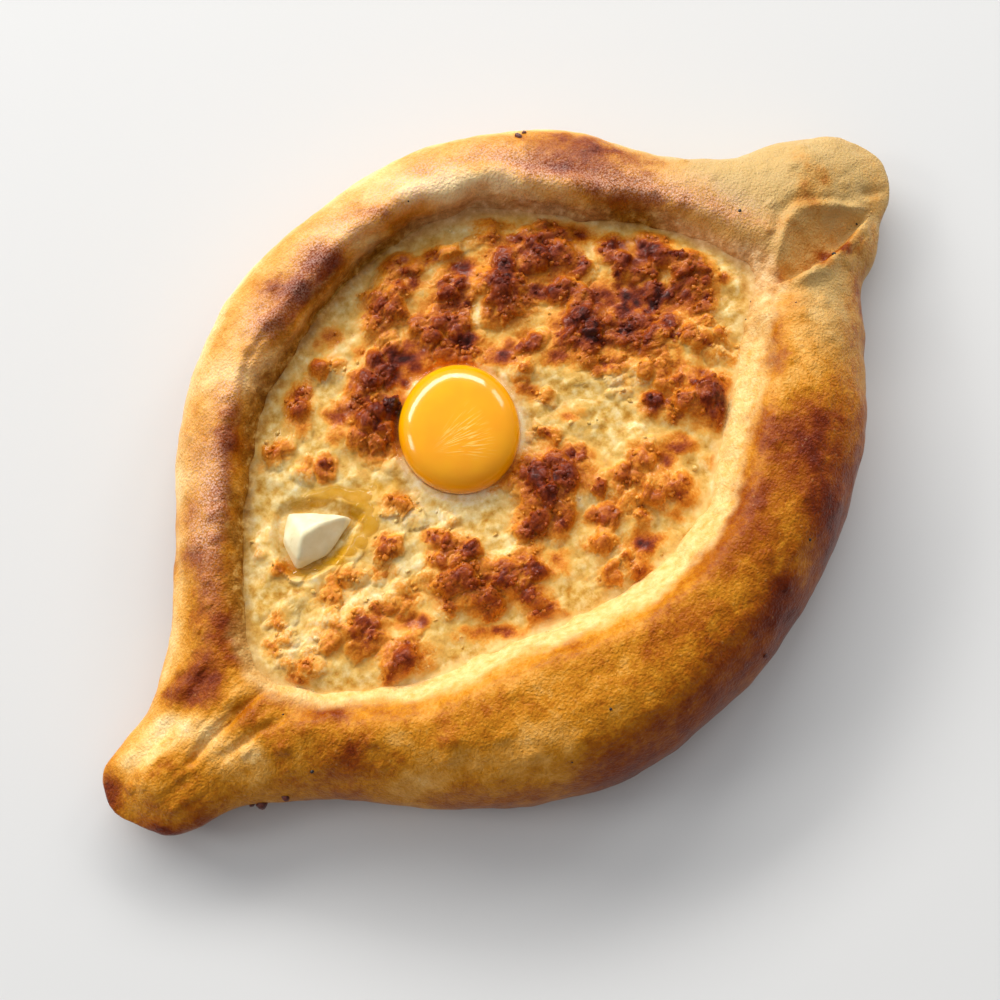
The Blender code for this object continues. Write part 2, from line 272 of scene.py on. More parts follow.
def folded_end(x, y):
    """The +X end: the far wall's lobe slopes into a fold that the near wall's rolled lip covers."""
    at, far, near = np.array(FOLD_LIPS, float).T
    far_lip = np.interp(x, at, far)
    near_lip = np.interp(x, at, near)
    across = (far_lip - y) / (far_lip - near_lip)
    open_here = smoothstep(at[0] - 1, at[0] + 9, x) * smoothstep(at[-1] + 2, at[-1] - 9, x)
    hollow = -FOLD_DEPTH * smoothstep(-0.45, 0.95, across) ** 1.4 * smoothstep(1.03, 0.90, across)
    roll = 2.6 * np.exp(-(((near_lip - 1.8 - y) / 2.6) ** 2))
    brow = 1.2 * np.exp(-(((y - far_lip - 0.6) / 1.8) ** 2))
    brow = brow - 0.8 * np.exp(-(((y - far_lip - 4.5) / 2.0) ** 2))
    lobe = mound(x, y, 133, 9, 13, 2.5) + mound(x, y, 100, -36, 12, 1.5)
    layer = 1.3 * smoothstep(-0.6, 0.6, y + 24 - 0.25 * (x - 120)) * smoothstep(118, 126, x)
    tip_fold = crease(x, y, (158, -14), (144, -10), 2.2, 3.5)
    return (hollow + roll + brow) * open_here + lobe - layer + tip_fold


def pinched_nose(x, y):
    """The -X end: grooves that run from the cheese to the tip, where the dough was twisted."""
    return (
        crease(x, y, (-104, -12), (-131, -13), 2.0, 2.2)
        + crease(x, y, (-112, 2), (-148, -4), 2.5, 1.2)
        + crease(x, y, (-104, -22), (-124, -19), 1.6, 1.2)
        + mound(x, y, -148, -13, 10, 2)
    )


print("the fold runs from x =", FOLD_LIPS[0][0], "to", FOLD_LIPS[-1][0], "mm")

# %% [markdown]
# ## One height for every place
# Two roundings make the wall: a rise from the outer edge and a fall to the cheese. Each needs only the
# distance to its outline, so a wall of any width keeps the same rounded section.

# %% Height of the dough


def dough_top(points, to_outer, to_inner):
    """Height of the dough, from its distance to the outer edge and to the cheese."""
    x, y = points.T
    side = far_side(y)
    outer_reach = OUTER_ROUND[0] * side + OUTER_ROUND[1] * (1 - side)
    inner_reach = INNER_SLOPE[0] * side + INNER_SLOPE[1] * (1 - side)
    rise = swell(to_outer, outer_reach)
    fall = np.sin(math.pi / 2 * np.clip(to_inner / inner_reach, 0, 1))
    crest = crest_height(x, y) + folded_end(x, y) * rise + pinched_nose(x, y) * rise
    wall = BULGE_Z + (crest - BULGE_Z) * rise
    return CHEESE_Z + (wall - CHEESE_Z) * np.where(wall > CHEESE_Z, fall, smoothstep(0, 0.4, fall))


def lift(x):
    """The base is flat, and rises a little under the nose and the folded end."""
    return END_LIFT * smoothstep(112, 156, np.abs(x))


halfway = (outer + inner) / 2
heights = dough_top(halfway, distance(halfway, outer_loop), distance(halfway, inner_loop))
print("height halfway across the wall, mm:", round(float(heights.min())), "to", round(float(heights.max())))

# %% [markdown]
# ## Lofting the crust
# A loft could be skinned by hand from a few sections, but dough has blisters only a few millimetres
# wide, so the mesh needs a vertex about every millimetre. Rings of points run round the boat: up the
# bowl's lining, over the wall, down its outside and under the base. Rows of quads join ring to ring, and
# a single point closes each end.

# %% Rings of the crust
FLOOR_SHARES = (0, 0.5)                     # rings on the bowl's floor, as shares of its size
BOWL_DEPTHS = (BOWL_ROUND, 9, 5, 2, 0.6)    # rings up the bowl's lining, as distances from its edge
WALL_RINGS = 62                             # rings between the cheese and the outer edge
FOOT_ANGLES = (12, 24, 36, 48, 60, 72, 81, 90)      # rings down the outside, round its quarter turn
BASE_SHARES = (0.9, 0.7, 0.4, 0)            # rings under the base, as shares of its size
FIRST_WALL_RING = len(FLOOR_SHARES) + len(BOWL_DEPTHS)


def ring_at(xy, z):
    """A ring of points: places in plan with one height, or a height each."""
    return np.column_stack([xy, np.broadcast_to(z, len(xy))])


def bowl(depth):
    """Height of the bowl's lining at a distance in from its edge."""
    return CHEESE_Z - (CHEESE_Z - BOWL_FLOOR_Z) * swell(depth, BOWL_ROUND)


def crust_rings():
    """The crust's rings, from the middle of the bowl's floor over the wall to the middle of the base."""
    floor = inset(inner, BOWL_ROUND)
    foot = inset(outer, FOOT_TUCK)
    rings = [ring_at(shrunk(floor, share), BOWL_FLOOR_Z) for share in FLOOR_SHARES]
    rings += [ring_at(inset(inner, depth), bowl(depth)) for depth in BOWL_DEPTHS]
    for step in range(WALL_RINGS + 1):
        even = step / WALL_RINGS
        share = 0.55 * even + 0.45 * (1 - math.cos(math.pi * even)) / 2     # closer at both edges
        line = inner + (outer - inner) * share
        height = dough_top(line, distance(line, outer_loop), distance(line, inner_loop))
        rings.append(ring_at(line, height))
    rings[-1][:, 2] = BULGE_Z
    for angle in FOOT_ANGLES:
        turn = math.radians(angle)
        line = outer + (foot - outer) * (1 - math.cos(turn))
        low = lift(line[:, 0])
        rings.append(ring_at(line, low + (BULGE_Z - low) * (1 - math.sin(turn))))
    for share in BASE_SHARES:
        line = shrunk(foot, share)
        rings.append(ring_at(line, lift(line[:, 0])))
    return np.array(rings)


crust_grid = crust_rings()
print("crust rings and stations:", crust_grid.shape[:2])

# %% [markdown]
# ## Noise for uneven food
# Blender's own textures can only be read one place at a time from a script. A table of random numbers
# that is blended smoothly does the same for a whole array at once. A second helper deals out pebbles:
# one dot in each cell of a grid, moved off its middle, and the distance to the nearest dot. Curds,
# blisters and grains all come from those dots.

# %% Noise helpers
TABLE_SIDE = 32         # the table of smooth noise repeats after this many bumps
DOTS_SIDE = 64          # and the grid of dots after this many
# Turns the table out of line with the bread, so that no bumps stand in rows.
TABLE_TURN = np.array([[0.80, 0.60, 0.0], [-0.48, 0.64, 0.60], [0.36, -0.48, 0.80]])


def rough(points, size, seed):
    """Smooth noise from -1 to 1 with bumps about size across. points is (n, 3)."""
    table = np.random.default_rng(seed).uniform(-1, 1, (TABLE_SIDE,) * 3)
    place = (points @ TABLE_TURN) / size
    cell = np.floor(place).astype(int)
    blend = place - cell
    blend = blend * blend * (3 - 2 * blend)
    total = np.zeros(len(points))
    for corner in np.ndindex(2, 2, 2):
        weight = np.prod(np.where(corner, blend, 1 - blend), axis=1)
        i, j, k = ((cell + corner) % TABLE_SIDE).T
        total += weight * table[i, j, k]
    return total


def in_plan(x, y):
    """Places with no height, for noise that depends on the plan alone."""
    return np.stack([x, y, np.zeros_like(x)], 1)


def pebbles(x, y, size, seed):
    """Distance to the nearest dot, in sizes, that dot's own random number, and where it lies."""
    rng = np.random.default_rng(seed)
    jitter = rng.uniform(0.05, 0.95, (DOTS_SIDE, DOTS_SIDE, 2))
    number = rng.random((DOTS_SIDE, DOTS_SIDE))
    u, v = x / size, y / size
    column, row = np.floor(u).astype(int), np.floor(v).astype(int)
    nearest = np.full(x.shape, 9.0)
    own = np.zeros(x.shape)
    at = np.zeros(x.shape + (2,))
    for across, up in np.ndindex(3, 3):
        i, j = column + across - 1, row + up - 1
        dot = jitter[i % DOTS_SIDE, j % DOTS_SIDE] + np.stack([i, j], -1)
        gap = np.hypot(dot[..., 0] - u, dot[..., 1] - v)
        closer = gap < nearest
        nearest = np.where(closer, gap, nearest)
        own = np.where(closer, number[i % DOTS_SIDE, j % DOTS_SIDE], own)
        at = np.where(closer[..., None], dot * size, at)
    return nearest, own, at


def dome(gap, radius):
    """The height of a half ball of this radius at a distance from its middle."""
    return np.sqrt(np.clip(1 - (gap / radius) ** 2, 0, 1))


sample = rough(ring_at(outer, 0.0), 8, 1)
print("smooth noise round the rim:", round(float(sample.min()), 2), "to", round(float(sample.max()), 2))

# %% [markdown]
# ## Relief of the crust
# Baked dough is lumpy at every size: broad swellings where gas gathered, flat wrinkles that run along
# the roll, and small blisters. The relief is added along the surface's own direction, so it also works
# on the steep outside. The far wall carries a thin flap of dough along its inner edge, and the nose is
# wrinkled where it was twisted.

# %% Relief helpers
# Blisters that stand out: x, y, radius, height.
BLISTERS = [(-71, -59, 4.5, 1.3), (-75, -62, 3, 0.8), (-93, -31, 3.5, 1.1), (-64, 52, 4, 0.9),
            (-30, 72, 5, 0.9), (-100, -29, 5, 1.2), (67, 38, 5, 1.0), (-108, -29, 4, 0.8),
            (124, 3, 5, 0.9), (-122, 5, 4, 0.8), (40, -66, 3, 0.7), (12, -74, 2.5, 0.6)]


def directions(grid):
    """Unit vectors square to the surface at each ring and station."""
    round_it = np.roll(grid, -1, 1) - np.roll(grid, 1, 1)
    across = np.gradient(grid, axis=0)
    square = np.cross(round_it, across)
    return square / np.maximum(np.linalg.norm(square, axis=2), 1e-9)[..., None]


def flap_edge(x):
    """How far from the cheese the turned-in flap of dough ends."""
    return 4.6 - 2.6 * smoothstep(-12, 24, x) + 0.6 * np.sin(x / 9.0) + 0.3 * np.sin(x / 3.7 + 1)


def flap_here(x, y):
    """1 where the far wall carries its flap, and 0 elsewhere."""
    return smoothstep(14, 34, y) * smoothstep(-74, -50, x) * smoothstep(80, 66, x)


def twist_here(x, y):
    """1 on top of the twisted nose, and 0 elsewhere."""
    lengthways = smoothstep(-99, -108, x) * smoothstep(-152, -138, x)
    return lengthways * smoothstep(-27, -20, y) * smoothstep(2, -6, y)


def flap_relief(points, to_inner):
    """The far wall's flap: the shoulder behind it, then its thickness less the groove at its edge."""
    x, y = points[:, 0], points[:, 1]
    edge = flap_edge(x) + 1.2 * rough(points, 7, 9) + 0.5 * rough(points, 2.4, 10)
    turned = smoothstep(edge + 0.7, edge - 0.4, to_inner) * smoothstep(0.5, 2.6, to_inner)
    groove = (0.30 + 0.35 * rough(points, 9, 29)) * np.exp(-((to_inner - edge - 0.9) / 0.8) ** 2)
    shoulder = (1.3 + 1.9 * smoothstep(8, 26, x)) * flap_here(x, y)
    raised = shoulder * np.exp(-(((to_inner - edge - 2.4) / 3.0) ** 2))
    return raised, flap_here(x, y) * (0.75 * turned - groove)


def crust_relief(points, to_outer, to_inner):
    """How far the dough stands out from the plain loft, in millimetres."""
    x, y = points[:, 0], points[:, 1]
    lumps = 0.75 * rough(points, 17, 1) + 0.38 * rough(points, 7.5, 2) + 0.16 * rough(points, 3.2, 3)
    wrinkles = 0.16 * rough(points * [0.35, 1.0, 1.0], 3.0, 4)
    wrinkles = wrinkles + 0.4 * twist_here(x, y) * rough(points * [0.12, 1.0, 1.0], 1.9, 8)
    gap, own, _ = pebbles(x, y, 9.0, 5)
    small = np.where(own > 0.45, 0.5 * dome(gap, 0.10 + 0.14 * own), 0)
    relief = lumps + wrinkles + small * smoothstep(2, 8, to_outer)
    raised, turned_in = flap_relief(points, to_inner)
    relief += raised
    relief += turned_in
    for cx, cy, size, height in BLISTERS:
        relief = relief + mound(x, y, cx, cy, size, height)
    foot_waves = 0.4 + 1.5 * rough(points, 12, 6) + 0.8 * rough(points, 4.5, 7)
    return relief * smoothstep(0, 3, to_inner) + foot_waves * np.exp(-((to_inner / 4.0) ** 2))


print("blisters:", len(BLISTERS))

# %% [markdown]
# ## Push the relief out of the crust
# A Displace modifier would do this with a texture. Moving the rings in code does the same, and the
# relief can then follow the two outlines. The bowl's lining and the base stay plain, and nothing may
# leave the solid's box.

# %% Move the rings
UNDERSIDE_RELIEF = (0.5, 0.2, 0, 0, 0, 0)   # how much of the relief the last rings keep

flat = crust_grid.reshape(-1, 3)
to_outer = distance(flat[:, :2], outer_loop)
to_inner = distance(flat[:, :2], inner_loop)
relief = crust_relief(flat, to_outer, to_inner).reshape(crust_grid.shape[:2])
relief[:FIRST_WALL_RING] = 0
relief[-len(UNDERSIDE_RELIEF):] *= np.array(UNDERSIDE_RELIEF)[:, None]
crust_grid = crust_grid + directions(crust_grid) * relief[..., None]
crust_grid = np.clip(crust_grid, np.array(SOLID_LOW) / MM, np.array(SOLID_HIGH) / MM)
print("crust relief, mm:", round(float(relief.min()), 2), "to", round(float(relief.max()), 2))

# %% [markdown]
# ## From rings to a mesh
# One helper turns any stack of closed rings into a mesh. It joins neighbouring rings with quads and
# closes the first and the last ring at a point. Numbers for each vertex, such as how brown it is, go
# in as attributes, which the materials read.

# %% Mesh helpers
PIECES = bpy.data.collections.new("bread")
bpy.context.scene.collection.children.link(PIECES)


def add_piece(name, mesh, material):
    """Makes an object of the mesh, with its material, and says how many triangles it has."""
    mesh.shade_smooth()
    mesh.materials.append(material)
    piece = bpy.data.objects.new(name, mesh)
    PIECES.objects.link(piece)
    triangles = sum(len(face.vertices) - 2 for face in mesh.polygons)
    print(name, "has", triangles, "triangles")
    return piece


def skin(name, grid, **numbers):
    """A closed mesh from rings of points in millimetres. The first and last ring are single points."""
    rings, count = grid.shape[:2]
    between = grid[1:-1].reshape(-1, 3)
    points = np.vstack([grid[0, :1], between, grid[-1, :1]]) * MM
    last = len(points) - 1
    here = np.arange(count)
    after = (here + 1) % count
    faces = []
    for ring in range(rings - 3):
        low = 1 + ring * count
        faces.append(np.stack([low + here, low + count + here, low + count + after, low + after], 1))
    faces = np.vstack(faces).tolist()
    faces += [[0, int(1 + h), int(1 + a)] for h, a in zip(here, after)]
    top = 1 + (rings - 3) * count
    faces += [[last, int(top + a), int(top + h)] for h, a in zip(here, after)]
    mesh = bpy.data.meshes.new(name)
    mesh.from_pydata(points.tolist(), [], faces)
    for key, value in numbers.items():
        value = np.broadcast_to(value, grid.shape[:2])
        column = np.concatenate([[value[0, 0]], value[1:-1].ravel(), [value[-1, 0]]])
        mesh.attributes.new(key, "FLOAT", "POINT").data.foreach_set("value", column.astype(np.float32))
    work = bmesh.new()
    work.from_mesh(mesh)
    bmesh.ops.recalc_face_normals(work, faces=work.faces)
    work.to_mesh(mesh)
    work.free()
    return mesh


print("the pieces go in the collection:", PIECES.name)

# %% [markdown]
# ## How brown the crust is
# A crust isn't one colour. It is cream where dough shaded it or where it touched cheese, gold on most of
# the wall, and dark on the crests that stood nearest the fire. One number from 0 to 1 says how far each
# place has baked. Bands that follow the outlines give the general run, and listed marks give this
# bread its own pattern. It could be brushed on in Texture Paint instead, but numbers in a list are
# easier to correct one by one. Each mark is a soft oval.

# %% Marks on the crust
SLANT = math.radians(-40)       # the direction of the marks and of the clumps of curd
# Marks: x, y, half-widths along and square to the slant, and how much browner (or paler).
CRUST_MARKS = [
    # mostly the far wall
    (78, 57, 13, 4, .32), (68, 50, 7, 5, .32), (72, 35, 8, 6, .42), (78, 26, 7, 5, .36),
    (100, -40, 4, 12, .10), (18, 74, 11, 3, .58), (-6, 75, 9, 3.5, .84), (-19, 75, 9, 4, .80),
    (65, 58, 8, 3, .44), (-31, 71, 6, 4, .40), (-55, 57, 4, 6, .40), (-65, 53, 6, 7, .36),
    (-70, 47, 5, 6, .28), (-81, 35, 3, 8, .18), (-97, 26, 5, 9, .12), (-88, 27, 4, 6, .20),
    (-100, 16, 5, 6, .26), (-122, 4, 4, 6, .38), (-98, 7, 5, 6, .26), (92, 17, 18, 9, .10),
    (81, 60, 8, 4, .22), (81, 43, 8, 5, .16), (-60, 47, 10, 3, .26), (-72, 42, 4, 4, .14),
    # The paler marks (42, 66), (30, 79), (4, 81), (-16, 83) and (36, 62) are painted light: they lighten
    # the far wall's crest for the windows' sheen, and its inner slope against its shade.
    (-101, 5, 4, 5, .14), (-106, 8, 5, 8, .16), (-78, 50, 12, 4, -.12), (42, 66, 13, 5, -.26),
    (30, 79, 12, 4, -.20), (4, 81, 12, 4, -.22), (-16, 83, 9, 4, -.26), (-45, 73, 4, 7, -.12),
    (-69, 56, 4, 15, -.14), (90, 13, 5, 5, -.30), (-50, 64, 14, 4, -.24), (-89, 47, 10, 4, .28),
    (-98, 35, 8, 3, .32), (98, -2, 4, 3, -.12), (87, 48, 17, 2, .24), (104, 30, 9, 2, .20),
    (36, 62, 7, 3, -.16),
    # mostly the nose
    (-126, -15, 9, 4, -.22), (-118, -24, 9, 4, -.30), (-109, -7, 4, 2, -.12), (-145, -3, 6, 3, -.44),
    (-140, -10, 4, 2, .18), (-158, -3, 3, 4, .60), (-134, -1, 8, 4, -.30), (-127, -4, 8, 3.5, -.30),
    (-120, -9, 5, 3, -.20), (-116, 4, 5, 6, .40), (-107, -5, 5, 5, -.20), (-123, 14, 4, 9, -.22),
    (-113, -15, 4, 3, .36), (-111, -10, 4, 2, -.14), (-105, -16, 3, 3, .12), (-109, -27, 4, 3.5, .40),
    (-93, -30, 3, 3, .45), (-155, -19, 5, 2, .35), (-149, -25, 6, 2, .40), (-138, -28, 6, 2, .32),
    (-136, -14, 8, 5, .08),
    # mostly the near wall
    # The paler marks (-63, -71) and (-87, -60) are painted light: they lighten the near wall's low outer
    # edge, which lies in shade.
    (-84, -49, 5, 3, -.24), (-92, -42, 3, 3, .25), (-63, -71, 16, 5, -.24), (-50, -50, 16, 4, -.16),
    (-16, -65, 5, 6, -.22), (-48, -80, 11, 4, -.12), (14, -86, 3, 11, -.10), (85, -40, 7, 9, -.26),
    (86, -29, 8, 5, -.14), (72, -43, 10, 5, -.18), (56, -46, 5, 4, -.14), (78, -61, 3, 5, -.12),
    (-116, -32, 8, 4, .14), (-98, -46, 8, 4, .12), (-71, -59, 4, 3, .25), (-87, -60, 8, 4, -.30),
    (-41, -94, 12, 5, .36), (-55, -84, 10, 4, -.16), (-15, -79, 4, 3, .12), (30, -91, 5, 5, .36),
    (22, -93, 6, 5, .34), (12, -94, 7, 5, .28), (2, -95, 7, 5, .26), (-8, -96, 8, 4, .20),
    (-20, -96, 9, 4, .22), (70, -54, 8, 6, .20), (62, -66, 8, 9, .44), (66, -60, 8, 8, .20),
    (58, -50, 5, 4, .30), (38, -64, 5, 5, .30), (54, -81, 4, 6, .40), (24, -70, 12, 5, .26),
    (-8, -74, 12, 4, .22),
    # mostly the folded end
    # The marks (148, -8) and (120, -32) are painted shade: they darken the folded end's outer sides that
    # face away from the windows.
    (141, -18, 3, 9, .24), (148, -8, 4, 9, .10), (120, -32, 4, 13, .34), (104, -42, 4, 9, .26),
    (93, -3, 5, 3, .20), (131, 10, 6, 5, .34), (116, -8, 12, 4, .16), (124, 1, 4, 4, .42),
    (132, -1, 4, 3, .32), (104, -14.5, 4, 2, .24), (111, -16.5, 4, 2, .32), (118, -16, 4, 2, .34),
    (125, -15, 4, 2, .28), (120, -18.5, 3, 2, .40), (112, -20, 3, 2, .30), (89, -10, 5, 5, .42),
    (97, -15, 3, 3, .30), (85, -18, 2, 8, .28), (86, -23, 2, 6, .16), (82, -28, 3, 4, .16),
    (78, -34, 3, 5, .14), (93, -28, 2, 5, .14), (76, -35, 3, 4, .18), (98, 11, 9, 5, .36),
    (92, 38, 8, 4, .16),
]


def slanted(x, y, cx, cy):
    """Offsets from a place along the slant and square to it."""
    dx, dy = x - cx, y - cy
    return dx * math.cos(SLANT) + dy * math.sin(SLANT), dy * math.cos(SLANT) - dx * math.sin(SLANT)


print("marks on the crust:", len(CRUST_MARKS))

# %% [markdown]
# ## From bands and marks to one number
# Each band is how much browner or paler it makes the crust, times where it holds. Then the marks are
# added. Noise first bends the places at which they are looked up, so that no mark stays a neat oval.

# %% Bake the crust
BAKE_MOST = 0.88        # the darkest that the crust gets
MARK_SPREAD = 1.4       # a mark fades out over this many of its half-widths
MARK_WEIGHT = 0.78


def bake_of(points, to_outer, to_inner):
    """How far the crust has baked: 0 is cream, 0.45 gold, 1 nearly black."""
    bend = np.stack([rough(points, 8, 11), rough(points, 8, 12)], 1) * 3.0
    bend += np.stack([rough(points, 2.6, 13), rough(points, 2.6, 14)], 1)
    x, y = points[:, 0] + bend[:, 0], points[:, 1] + bend[:, 1]
    far = smoothstep(-12, 20, y)
    between_ends = smoothstep(124, 90, np.abs(x))
    bake = 0.30 + 0.16 * (1 - far) + 0.07 * rough(points, 20, 15) + 0.06 * rough(points, 5, 16)
    # The far wall's crest is browner, the folded end and the far outer edge are paler.
    bake += far * between_ends * 0.06 * np.exp(-((to_inner - 8.5) / 4.5) ** 2)
    bake -= 0.24 * smoothstep(84, 106, x)
    bake -= far * smoothstep(132, 112, np.abs(x)) * 0.17 * smoothstep(8, 2, to_outer)
    # The near wall darkens towards its outer edge, and more so beside the folded end.
    outwards = 0.08 * smoothstep(20, 9, to_outer) + 0.06 * smoothstep(6, 1, to_outer)
    bake += (1 - far) * between_ends * outwards
    # At the folded end the near outer edge is made darker, which is painted shade of the side that faces
    # away from the windows.
    bake += 0.05 * smoothstep(94, 108, x) * smoothstep(8, -12, y) * smoothstep(12, 3, to_outer)
    beside_fold = 0.10 * smoothstep(86, 60, x) * smoothstep(30, 50, x)
    bake += beside_fold * smoothstep(8, -30, y) * smoothstep(10, 2, to_outer)
    # Beside the flap the dough is made paler, as painted light on the inner slope, which lies in shade; the
    # far wall's low outside went brown.
    bake -= 0.20 * flap_here(x, y) * smoothstep(4, 24, x) * np.exp(-(((to_inner - 4.5) / 3) ** 2))
    bake += 0.16 * far * smoothstep(24, 13, points[:, 2])
    marks = np.zeros(len(points))
    for cx, cy, wide, tall, amount in CRUST_MARKS:
        u, v = slanted(x, y, cx, cy)
        marks += amount * np.exp(-((u / (MARK_SPREAD * wide)) ** 2 + (v / (MARK_SPREAD * tall)) ** 2))
    bake += MARK_WEIGHT * marks * (0.85 + 0.25 * rough(points, 3.5, 18))
    flap = flap_here(x, y) * smoothstep(1.2, 0.2, np.abs(to_inner - flap_edge(x) + 2.3) / 2.0)
    return np.clip(bake * (1 - 0.55 * flap), 0, BAKE_MOST)


def melt_of(points, to_inner):
    """How much cheese has smeared up the dough beside the filling."""
    near = smoothstep(12, -20, points[:, 1])
    reach = 2.6 + 3.4 * near + 1.8 * rough(points, 7, 19) + 0.9 * rough(points, 2.6, 20)
    reach *= 1 - 0.5 * near * smoothstep(-62, -84, points[:, 0])
    return smoothstep(reach + 2.6, reach - 2.2, to_inner)


def dust_and_sheen_of(points, to_inner):
    """How much flour lies on the crust, with a painted sheen: both on the far wall's crest, where the
    windows' sheen falls, and none on the nose.
    """
    on_far_wall = smoothstep(-12, 20, points[:, 1]) * smoothstep(-104, -86, points[:, 0])
    on_crest = np.exp(-(((to_inner - 9) / 8) ** 2))
    dust = on_far_wall * on_crest * smoothstep(3, 7, to_inner)
    return np.clip(dust * (0.75 + 0.5 * rough(points, 9, 28)), 0, 1)


placed = crust_grid.reshape(-1, 3)
bake = bake_of(placed, to_outer, to_inner).reshape(crust_grid.shape[:2])
melt = melt_of(placed, to_inner).reshape(bake.shape)
dust = dust_and_sheen_of(placed, to_inner).reshape(bake.shape)
under = smoothstep(10, 3, crust_grid[..., 2])       # the base baked evenly, on a hot tray
bake = bake * (1 - under) + (0.55 + 0.1 * rough(placed, 9, 17).reshape(bake.shape)) * under
print("bake, lightest and darkest:", round(float(bake.min()), 2), round(float(bake.max()), 2))

# %% [markdown]
# ## Material helpers
# Node trees are quicker to read when each node is one line. The helper below adds a node, sets the
# inputs that are plain values and links those that come from another node. Colours are written as
# they look on a screen, from 0 to 255, and turned to the linear values that shading needs.

# %% Node helpers


def tint(red, green, blue):
    """A screen colour as the linear values of a shader."""
    linear = []
    for part in (red, green, blue):
        share = part / 255
        linear.append(share / 12.92 if share <= 0.04045 else ((share + 0.055) / 1.055) ** 2.4)
    return (*linear, 1.0)


def put(tree, socket, value):
    """Gives an input its value, or links the output socket that feeds it."""
    if isinstance(value, bpy.types.NodeSocket):
        tree.links.new(value, socket)
    else:
        socket.default_value = value


def add(tree, kind, settings=(), **inputs):
    """A node of this kind. Inputs go by name, or by number as i0, i1 where names repeat."""
    node = tree.nodes.new(kind)
    for key, value in dict(settings).items():
        setattr(node, key, value)
    for key, value in inputs.items():
        numbered = key[0] == "i" and key[1:].isdigit()
        socket = node.inputs[int(key[1:]) if numbered else key.replace("_", " ")]
        put(tree, socket, value)
    return node


def new_material(name, **fixed):
    """A Principled material: its tree, its shader and itself."""
    material = bpy.data.materials.new(name)
    material.use_nodes = True
    shader = material.node_tree.nodes["Principled BSDF"]
    for key, value in fixed.items():
        shader.inputs[key.replace("_", " ")].default_value = value
    return material, material.node_tree, shader


def ramp(tree, factor, *stops):
    """A colour ramp through (place, colour) stops."""
    node = add(tree, "ShaderNodeValToRGB", Fac=factor)
    marks = node.color_ramp.elements
    while len(marks) < len(stops):
        marks.new(0.5)
    for mark, (place, colour) in zip(marks, stops):
        mark.position = place
        mark.color = colour
    return node.outputs["Color"]


def grain(tree, size, detail=3.0, roughness=0.6):
    """Noise whose bumps are about size millimetres across."""
    where = add(tree, "ShaderNodeTexCoord").outputs["Object"]
    return add(tree, "ShaderNodeTexNoise", Vector=where, Scale=1 / (size * MM), Detail=detail,
               Roughness=roughness).outputs["Fac"]


def maths(tree, operation, first, second=0.0, third=0.0):
    """One sum on two or three numbers, each a value or a socket."""
    node = tree.nodes.new("ShaderNodeMath")
    node.operation = operation
    for socket, value in zip(node.inputs, (first, second, third)):
        put(tree, socket, value)
    return node.outputs[0]


def mixed_colour(tree, share, first, second):
    """The first colour where share is 0, and the second where it is 1."""
    return add(tree, "ShaderNodeMix", {"data_type": "RGBA"}, Factor=share, i6=first, i7=second).outputs[2]


def number_of(tree, name):
    """A number that is kept at each vertex."""
    return add(tree, "ShaderNodeAttribute", {"attribute_name": name}).outputs["Fac"]


def spread(tree, value, low, high, to_low=0.0, to_high=1.0):
    """A value moved from one range to another, and held inside it."""
    node = add(tree, "ShaderNodeMapRange", Value=value)
    for key, limit in (("From Min", low), ("From Max", high), ("To Min", to_low), ("To Max", to_high)):
        node.inputs[key].default_value = limit
    return node.outputs["Result"]


def bumped(tree, shader, *layers):
    """Stacks bumps on the shader: each layer is a height, how strong, and its depth in millimetres."""
    last = None
    for height, strength, depth in layers:
        node = add(tree, "ShaderNodeBump", Height=height, Strength=strength, Distance=depth * MM)
        if last:
            tree.links.new(last, node.inputs["Normal"])
        last = node.outputs["Normal"]
    tree.links.new(last, shader.inputs["Normal"])


print("screen gold in linear values:", [round(value, 3) for value in tint(202, 130, 24)])

# %% [markdown]
# ## The crust's finish
# Baked dough is matt with a soft shine where egg wash or fat dried on it. The ramp runs from cream over
# gold to brown. Fine noise is added to the bake number before it enters the ramp, so that colour
# breaks up into freckles, as a real crust does, and small pale blisters are dotted over the gold; their
# pale tint is a painted highlight. The smear of cheese comes first, because the cheese's own finish
# needs the same colour at its edge.

# %% Colour of the smear


def smear_colour(tree, where):
    """Cheese and dough where one runs into the other: honey on the far side, darkened as painted shade of
    the far wall's inner slope, and cream on the near side.
    """
    place = add(tree, "ShaderNodeSeparateXYZ", Vector=where).outputs
    strands = grain(tree, 2.6, 4, 0.6)
    honey_shaded = ramp(tree, strands,
                 (0.34, tint(122, 70, 6)), (0.52, tint(166, 108, 28)), (0.70, tint(212, 168, 92)))
    beige = ramp(tree, strands,
                 (0.34, tint(184, 130, 76)), (0.52, tint(212, 162, 106)), (0.70, tint(236, 196, 146)))
    cream = ramp(tree, strands, (0.30, tint(234, 174, 88)), (0.66, tint(245, 211, 144)))
    # Beige, partly lightened as painted light on the shaded inner slope, takes the place of honey on two
    # stretches of the far side.
    middle = maths(tree, "MULTIPLY", spread(tree, place["X"], 0.016, 0.034),
                   spread(tree, place["X"], 0.074, 0.060))
    middle = maths(tree, "MAXIMUM", middle, spread(tree, place["X"], 0.080, 0.088))
    far = mixed_colour(tree, middle, honey_shaded, beige)
    across = maths(tree, "MULTIPLY_ADD", spread(tree, place["X"], 0.066, 0.080), 0.014, place["Y"])
    return mixed_colour(tree, spread(tree, across, 0.012, -0.020), far, cream)


print("share of the crust's vertices in the smear:", round(float((melt > 0.5).mean()), 2))

# %% [markdown]
# ## Baked dough
# The layers go on in the order in which they came about: the baked colour, the folded end's pale dough in
# a painted shade tone, the smear of cheese, the little blisters with their painted highlight, and the
# flour with a painted sheen last. Roughness falls where the crust is darkest, because the fat has come
# out there, and bumps of several sizes lie over each other.

# %% Crust material
DOUGH_SCATTER = (0.003, 0.0012, 0.0004)     # how far red, green and blue light travel inside, in metres
BLISTERS_PER_METRE = 420.0


